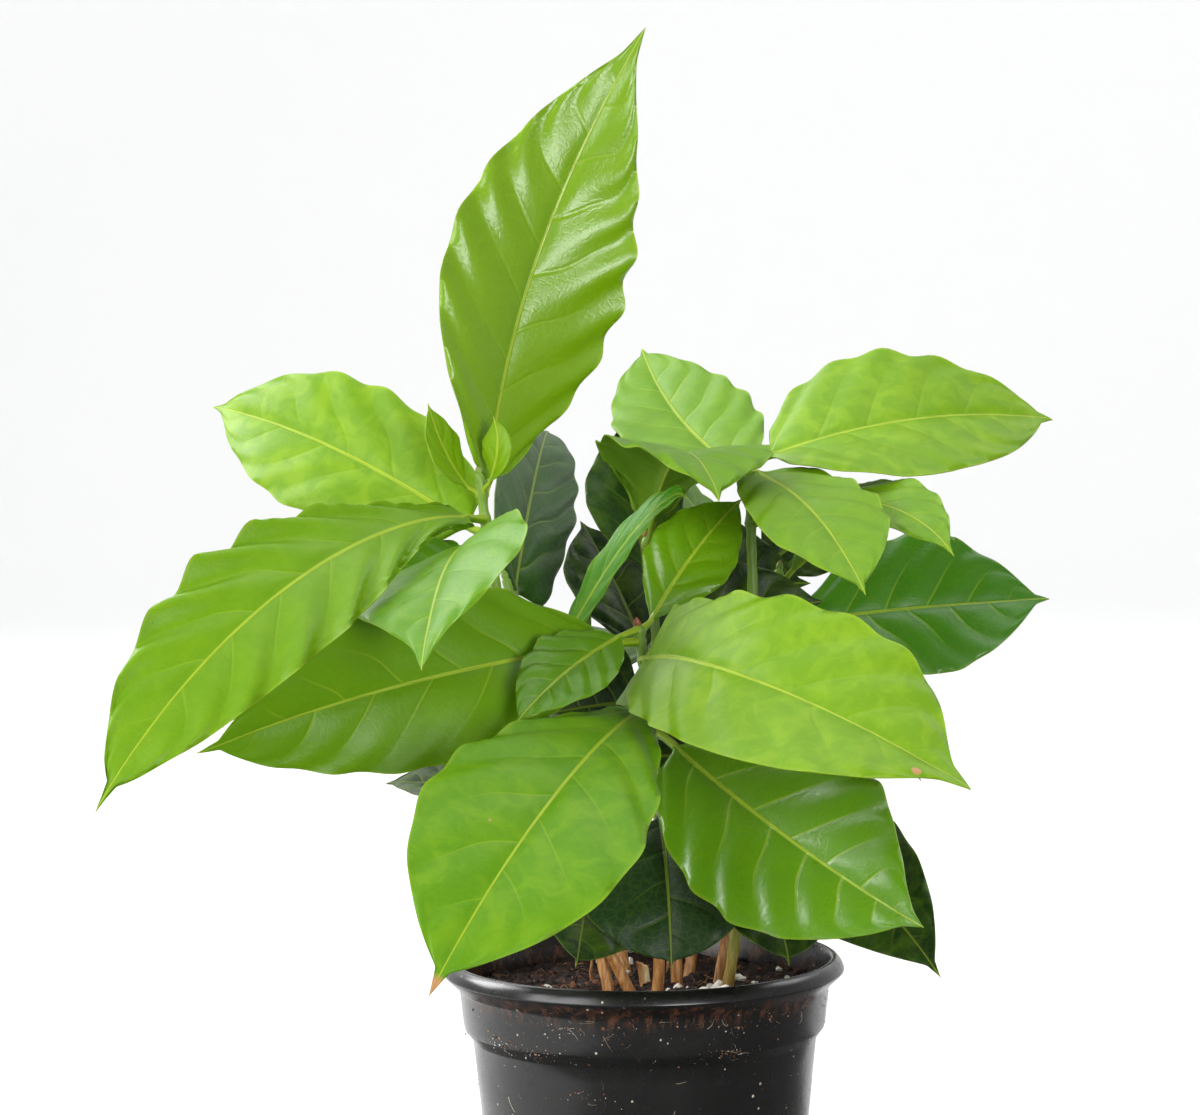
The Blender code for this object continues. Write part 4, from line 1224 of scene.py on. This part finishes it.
def leaf_surface(label, design, skin_form, sizes):
    """Rings of a leaf's points, and what its material reads at each.

    A ring goes over the top from the left edge to the right one and back below. The
    stalk's rings are round, and run into the blade's over its first few millimetres. The
    blade's underside lies its thickness below its top, and bulges along the midrib.
    """
    stem = STEMS[label[0]]
    draw = np.random.default_rng([SEED, *label.encode()]).uniform(0, 1, 4)
    length, stalk = design["length"], design["stalk"]
    rows = max(round(length / ROW_STEP), 20)
    even = np.linspace(0, 1, rows + 1)
    blade = length * (even - 0.55 * np.sin(TAU * even) / TAU)
    reach = np.concatenate([np.linspace(-stalk - STALK_SINK, -0.7, STALK_ROWS), blade])
    t = np.clip(reach / length, 0, 1)[:, None]
    line = np.linspace(-1, 1, 2 * HALF_COLUMNS + 1)
    u = (np.sign(line) * np.abs(line) ** COLUMN_CROWDING)[None]
    half = np.maximum(half_width(t, design), TIP_HALF_WIDTH)
    slender = min(design["width"] / 30, 1)
    rib = STALK_RADIUS * (0.32 + 0.68 * slender) * (1 - 0.78 * t)
    half = np.where(reach[:, None] > 0, half, rib)
    lift, ripple = blade_lift(design, skin_form, t, u, half, draw)
    x = u * half * (1 + skin_form["scallop"] * ripple)
    edge, middle = sizes.blade_edge / MM, sizes.blade_middle / MM
    thick = edge + (middle - edge) * (1 - np.abs(u)) ** 1.5
    thick = np.minimum(thick, 0.9 * half)
    bulge = np.sqrt(np.maximum(1 - (x / rib) ** 2, 0)) * rib * (1.3 - 0.5 * t)
    top = np.stack([x, lift + thick / 2], -1)
    bottom = np.stack([x, lift - thick / 2 - bulge], -1)
    round_u = np.sin(np.pi / 2 * line)[None]
    arc = np.sqrt(np.maximum(1 - round_u ** 2, 0))
    round_top = np.stack([rib * round_u, rib * arc], -1)
    round_bottom = np.stack([rib * round_u, -rib * arc], -1)
    opened = smoothstep(reach / 4)[:, None, None]
    top = (1 - opened) * round_top + opened * top
    bottom = (1 - opened) * round_bottom + opened * bottom
    ring = np.concatenate([top, bottom[:, ::-1]], 1)
    centres, across, upward = midrib(stem, design, reach)
    foot = smoothstep(1 - (reach + stalk) / STALK_FOOT)[:, None]
    axis = stem_line(stem, centres[:, 2])
    centres = centres + 0.55 * foot * (axis - centres)
    ring = ring * (1 + 0.3 * foot[:, None])
    points = centres[:, None] + ring[..., :1] * across[:, None] + ring[..., 1:] * upward[:, None]

    def both(values, fill=None):
        """Values of the top, and those of the underside, which may be one number."""
        values = np.broadcast_to(values, x.shape)
        below = values if fill is None else np.full(x.shape, fill)
        return np.concatenate([values, below[:, ::-1]], 1)

    share = both(t + 0 * x)
    upper = both(np.ones(x.shape), 0.0)
    phase = both(vein_phase(design, t, u + 1e-9, draw))
    gap = both(vein_gap(design, t, u, half))
    blade_values = np.stack([both(x), share, upper], -1)
    vein_values = np.stack([phase, gap, both(np.abs(u) + 0 * t)], -1)
    return points, blade_values, vein_values


def cuticle_leaf(colours, name, wax):
    """Coffee leaf: a soft green blade under a clear waxy cuticle.

    The wax gives broad clear highlights that break at the veins, and light that falls on
    one side glows through the other. wax is its refractive index: a thin coat on a leaf
    that has just opened reflects less than the full one of a grown leaf.
    """
    material, add = new_material(name)
    place = add("TexCoord", out="Object")
    blade, vein, own, spot = (
        add("SeparateXYZ", [add("Attribute", out="Vector", attribute_name=name)], out=None)
        for name in ("blade", "vein", "own", "blemish")
    )

    # Distance in millimetres from the nearest side vein
    fraction = add("Math", [vein[0]], operation="FRACT")
    centred = add("Math", [fraction, 0.5], operation="SUBTRACT")
    away = add("Math", [centred], operation="ABSOLUTE")
    vein_mm = add("Math", [away, vein[1]], operation="MULTIPLY")
    # Side veins are 0.5 mm wide and fade out before the edge and towards the tip
    side_line = add("MapRange", [vein_mm, 0.1, 0.38, 1.0, 0.0], interpolation_type="SMOOTHSTEP")
    to_edge = add("MapRange", [vein[2], 0.25, 0.8, 1.0, 0.0])
    to_tip = add("MapRange", [blade[1], 0.75, 0.93, 1.0, 0.0])
    fade = add("Math", [to_edge, to_tip], operation="MULTIPLY")
    side_vein = add("Math", [side_line, fade], operation="MULTIPLY")
    side_vein = add("Math", [side_vein, spot[1]], operation="MULTIPLY")
    # The edge is a thin yellower line
    edge_line = add("MapRange", [vein[2], 0.965, 0.995, 0.0, 0.35])
    # The midrib is 1.3 mm wide at its foot and 0.4 mm at the tip
    across = add("Math", [blade[0]], operation="ABSOLUTE")
    rib_half = add("MapRange", [blade[1], 0.0, 1.0, 0.75, 0.2])
    rib_share = add("Math", [across, rib_half], operation="DIVIDE")
    rib_line = add("MapRange", [rib_share, 0.6, 1.15, 1.0, 0.0], interpolation_type="SMOOTHSTEP")

    # The net of the finest veins has meshes of about 2.4 mm
    wobble = add("TexNoise", {"Vector": place, "Scale": per_metre(3), "Detail": 2.0}, out="Color")
    bent = add("VectorMath", [wobble, (0.0016, 0.0016, 0.0016), place], operation="MULTIPLY_ADD")
    net = add("TexVoronoi", {
        "Vector": bent, "Scale": per_metre(2.4),
    }, out="Distance", feature="DISTANCE_TO_EDGE")
    net_line = add("MapRange", [net, 0.0, 0.13, 1.0, 0.0])

    # Green by age, with slow patches of yellower green on young leaves
    cloud = add("TexNoise", {
        "Vector": place, "Scale": per_metre(11), "Detail": 4.0, "Roughness": 0.6,
    })
    older = add("Math", [cloud, 0.16, own[0]], operation="MULTIPLY_ADD")
    green = add("ValToRGB", [older], stops=[
        (0.08, colours.young), (0.58, colours.grown), (1.0, colours.old),
    ])
    patch = add("TexNoise", {
        "Vector": place, "Scale": per_metre(7), "Detail": 3.0, "Distortion": 0.8,
    })
    patchy = add("MapRange", [patch, 0.42, 0.66, 0.0, 0.6])
    patchy = add("Math", [patchy, own[2]], operation="MULTIPLY")
    blotched = add("Mix", {0: patchy, MIX_A: green, MIX_B: colours.blotch}, **OF_COLOURS)
    paler = add("Mix", {0: 0.5, MIX_A: blotched, MIX_B: colours.rib}, **OF_COLOURS)
    netted = add("Math", [net_line, 0.07], operation="MULTIPLY")
    lines = add("Math", [netted, side_vein], operation="MAXIMUM")
    veined = add("Mix", {0: lines, MIX_A: blotched, MIX_B: paler}, **OF_COLOURS)
    # The midrib stands out less on an old leaf
    rib_strength = add("MapRange", [own[0], 0.3, 1.0, 0.68, 0.3])
    rib_colour = add("Mix", {0: rib_strength, MIX_A: blotched, MIX_B: colours.rib}, **OF_COLOURS)
    rimmed = add("Math", [rib_line, edge_line], operation="MAXIMUM")
    ribbed = add("Mix", {0: rimmed, MIX_A: veined, MIX_B: rib_colour}, **OF_COLOURS)
    under = add("Mix", {0: 0.45, MIX_A: ribbed, MIX_B: colours.under}, **OF_COLOURS)
    sided = add("Mix", {0: blade[2], MIX_A: under, MIX_B: ribbed}, **OF_COLOURS)
    dried = add("MapRange", [spot[0], 0.75, 1.1, 1.0, 0.0])
    colour = add("Mix", {0: dried, MIX_A: sided, MIX_B: colours.dry}, **OF_COLOURS)

    # Relief: side veins and net are sunk in the top, and the midrib stands up in its channel
    sunk = add("MapRange", [vein_mm, 0.0, 1.1, -1.0, 0.0], interpolation_type="SMOOTHSTEP")
    sunk = add("Math", [sunk, fade], operation="MULTIPLY")
    relief = add("Math", [net_line, -0.12, sunk], operation="MULTIPLY_ADD")
    relief = add("Math", [rib_line, 1.3, relief], operation="MULTIPLY_ADD")
    fine = add("TexNoise", {
        "Vector": place, "Scale": per_metre(1.7), "Detail": 4.0, "Roughness": 0.6,
    })
    relief = add("Math", [fine, 0.6, relief], operation="MULTIPLY_ADD")
    normal = add("Bump", {"Height": relief, "Strength": 0.8, "Distance": 0.16 * MM})

    # The cuticle is glossier on the top than below, and hazy in patches
    shiny = add("Math", [own[1], blade[2]], operation="MULTIPLY")
    roughness = add("MapRange", [shiny, 0.0, 1.0, 0.5, 0.22])
    roughness = add("Math", [cloud, 0.12, roughness], operation="MULTIPLY_ADD")
    skin = add("BsdfPrincipled", {
        "Base Color": colour, "Roughness": roughness, "IOR": wax, "Normal": normal,
    })
    glow = add("BsdfTranslucent", {"Color": colour, "Normal": normal})
    shader = add("MixShader", [0.24, skin, glow])
    add("OutputMaterial", [shader], out=None)
    return material


def blemish(blade, design, skin_form):
    """How far each point is from the nearest dried spot, in radii, and the veins' strength."""
    far = np.full((len(blade), 3), 9.0)
    far[:, 1] = skin_form["veined"]
    for across, share, radius in skin_form["spots"]:
        away = np.hypot(blade[:, 0] - across, (blade[:, 1] - share) * design["length"])
        far[:, 0] = np.minimum(far[:, 0], away / radius)
    return far


class PLANT_OT_leaves(bpy.types.Operator):
    """Every leaf, with its veins, waves and swellings"""

    bl_idname = "plant.leaves"
    bl_label = "Leaves"

    def execute(self, context):
        sizes, colours = context.scene.plant_sizes, context.scene.plant_colours
        waxy = cuticle_leaf(colours, "coffee_leaf_waxy", 1.55)
        soft = cuticle_leaf(colours, "coffee_leaf_thin_wax", 1.34)
        for label, design in LEAVES.items():
            skin_form = SKINS.get(label, skin())
            material = waxy if skin_form["gloss"] > 0.65 else soft
            rings, blade, vein = leaf_surface(label, design, skin_form, sizes)
            points, faces = closed_tube(rings)
            piece = new_piece(
                f"blade_{label}", points, faces, material,
                [f"leaf_{label}"],
            )

            def whole(values):
                """Values of the rings, with the middle point of each end."""
                flat = values.reshape(-1, 3)
                return np.vstack([flat, values[0].mean(0), values[-1].mean(0)])

            write_attribute(piece, "blade", whole(blade))
            write_attribute(piece, "vein", whole(vein))
            own = (design["age"] - skin_form["fresh"], skin_form["gloss"], skin_form["mottle"])
            write_attribute(piece, "own", np.tile(own, (len(points), 1)))
            write_attribute(piece, "blemish", blemish(whole(blade), design, skin_form))
            smooth(piece, 75)
        return {"FINISHED"}


# Stage

# The camera stands 1.25 m in front of the pot's axis, looks 5.2 degrees down and leans 0.7
CAMERA_PLACE = (-10.7, -1250.0, 316.7)
CAMERA_TILT = 5.2
CAMERA_LEAN = 0.7
CAMERA_LENS = 138.2
# The floor, in metres: how far it is flat, how much further it sweeps up, and how high
FLOOR_FLAT, FLOOR_SWEEP, FLOOR_HIGH = 1.9, 0.9, 2.4
FLOOR_Z = -0.0012
FLOOR_STEPS = 96
FLAT_ROWS, SWEEP_ROWS = 12, 24
# A grey card under the pot and to its right, out of the picture, keeps its plastic dark
CARD_CORNERS = [(-0.12, -1.2), (1.0, -1.2), (1.0, 0.15), (-0.12, 0.15)]
CARD_Z = -0.0002
# Soft boxes: place, width and height in metres, power in watts, and what each faces
PLANT_MIDDLE = (0.0, 0.0, 0.17)
LIGHTS = {
    "key": ((-1.1, -0.95, 0.8), (1.2, 0.9), 23.0, PLANT_MIDDLE),
    "low_right": ((0.42, -1.15, 0.27), (0.44, 0.4), 9.5, PLANT_MIDDLE),
    "left": ((-1.05, 0.55, 0.9), (0.6, 0.6), 16.0, PLANT_MIDDLE),
    "top": ((0.0, 0.0, 1.2), (1.0, 0.9), 5.0, PLANT_MIDDLE),
    "back_left": ((-0.55, 0.85, 0.95), (0.7, 0.6), 5.0, PLANT_MIDDLE),
    "back_right": ((0.85, 0.5, 1.05), (0.6, 0.6), 4.0, PLANT_MIDDLE),
    "wall": ((0.0, 1.1, 2.0), (2.4, 0.8), 43.0, (0.0, 2.6, 0.5)),
}


def stage_camera():
    """The camera, turned by its tilt and then leant about its own line of sight."""
    tilt, lean = math.radians(CAMERA_TILT), math.radians(CAMERA_LEAN)
    level_right = Vector((1, 0, 0))
    level_up = Vector((0, math.sin(tilt), math.cos(tilt)))
    back = Vector((0, -math.cos(tilt), math.sin(tilt)))
    right = level_right * math.cos(lean) - level_up * math.sin(lean)
    up = level_right * math.sin(lean) + level_up * math.cos(lean)
    data = bpy.data.cameras.new("camera")
    data.lens = CAMERA_LENS
    data.sensor_width = 36.0
    data.clip_end = 50.0
    camera = bpy.data.objects.new("camera", data)
    turn = Matrix((right, up, back)).transposed().to_4x4()
    camera.matrix_world = Matrix.Translation(Vector(CAMERA_PLACE) * MM) @ turn
    bpy.context.scene.collection.objects.link(camera)
    bpy.context.scene.camera = camera


def stage_light(name, place, size, power, target):
    """A soft box aimed at its target. The camera itself doesn't see it."""
    data = bpy.data.lights.new(name, "AREA")
    data.shape = "RECTANGLE"
    data.size, data.size_y = size
    data.energy = power
    light = bpy.data.objects.new(name, data)
    aim = (Vector(target) - Vector(place)).to_track_quat("-Z", "Y")
    light.matrix_world = Matrix.Translation(place) @ aim.to_matrix().to_4x4()
    light.visible_camera = False
    bpy.context.scene.collection.objects.link(light)


def floor_shape():
    """Points in metres and faces of a flat disc whose rim sweeps up into a round wall."""
    angles = np.linspace(0, np.pi / 2, SWEEP_ROWS)[1:]
    radius = np.concatenate([
        np.linspace(0.05, FLOOR_FLAT, FLAT_ROWS), FLOOR_FLAT + FLOOR_SWEEP * np.sin(angles),
        [FLOOR_FLAT + FLOOR_SWEEP],
    ])
    z = np.concatenate([
        np.zeros(FLAT_ROWS), FLOOR_SWEEP * (1 - np.cos(angles)), [FLOOR_HIGH],
    ])
    rings = turned(np.stack([radius, z], 1), FLOOR_STEPS)
    points = np.vstack([rings.reshape(-1, 3), [0.0, 0.0, 0.0]]) + [0, 0, FLOOR_Z]
    faces = ring_faces(len(rings), FLOOR_STEPS) + cap_faces(FLOOR_STEPS, 0, len(points) - 1)
    return points.tolist(), faces


def stage_sheet(name, points, faces, finish, colour):
    """A matt piece of the stage, from points in metres."""
    mesh = bpy.data.meshes.new(name)
    mesh.from_pydata(points, [], faces)
    mesh.shade_smooth()
    material, add = new_material(finish)
    shader = add("BsdfPrincipled", {"Base Color": colour, "Roughness": 0.9})
    add("OutputMaterial", [shader], out=None)
    mesh.materials.append(material)
    sheet = bpy.data.objects.new(name, mesh)
    bpy.context.scene.collection.objects.link(sheet)


class PLANT_OT_stage(bpy.types.Operator):
    """Pale floor that sweeps up all round, soft lights and the camera"""

    bl_idname = "plant.stage"
    bl_label = "Stage"

    def execute(self, context):
        scene = context.scene
        stage_sheet("floor", *floor_shape(), "matt_paper", scene.plant_colours.floor)
        corners = [(x, y, CARD_Z) for x, y in CARD_CORNERS]
        stage_sheet("card", corners, [(0, 1, 2, 3)], "grey_card", "#5a5a5a")
        world = bpy.data.worlds.new("soft_room")
        world.use_nodes = True
        background = world.node_tree.nodes["Background"]
        background.inputs["Color"].default_value = linear("#f4f8ff")
        background.inputs["Strength"].default_value = 0.2
        scene.world = world
        for name, (place, size, power, target) in LIGHTS.items():
            stage_light(name, place, size, power, target)
        stage_camera()
        scene.view_settings.view_transform = "Standard"
        scene.view_settings.look = "None"
        return {"FINISHED"}


class PLANT_PT_panel(bpy.types.Panel):
    """Lists the pieces of the plant"""

    bl_idname = "PLANT_PT_panel"
    bl_label = "Coffee plant"
    bl_space_type = "VIEW_3D"
    bl_region_type = "UI"
    bl_category = "Coffee plant"

    def draw(self, context):
        for name in type(context.scene.plant_sizes).__annotations__:
            self.layout.prop(context.scene.plant_sizes, name)
        for name in type(context.scene.plant_colours).__annotations__:
            self.layout.prop(context.scene.plant_colours, name)
        for operator in OPERATORS:
            self.layout.operator(operator.bl_idname)


OPERATORS = (
    PLANT_OT_pot, PLANT_OT_soil, PLANT_OT_litter, PLANT_OT_stems, PLANT_OT_stub, PLANT_OT_buds,
    PLANT_OT_leaves, PLANT_OT_stage,
)
CLASSES = (PlantSizes, PlantColours, *OPERATORS, PLANT_PT_panel)


def register():
    """Makes the classes and the plant's properties known to Blender."""
    for new_class in CLASSES:
        bpy.utils.register_class(new_class)
    bpy.types.Scene.plant_sizes = bpy.props.PointerProperty(type=PlantSizes)
    bpy.types.Scene.plant_colours = bpy.props.PointerProperty(type=PlantColours)


def unregister():
    """Takes the properties and the classes away again."""
    del bpy.types.Scene.plant_sizes
    del bpy.types.Scene.plant_colours
    for old_class in reversed(CLASSES):
        bpy.utils.unregister_class(old_class)


def main():
    """Builds every piece and the stage in order."""
    register()
    bpy.ops.plant.pot()
    bpy.ops.plant.soil()
    bpy.ops.plant.litter()
    bpy.ops.plant.stems()
    bpy.ops.plant.stub()
    bpy.ops.plant.buds()
    bpy.ops.plant.leaves()
    bpy.ops.plant.stage()


if __name__ == "__main__":
    main()
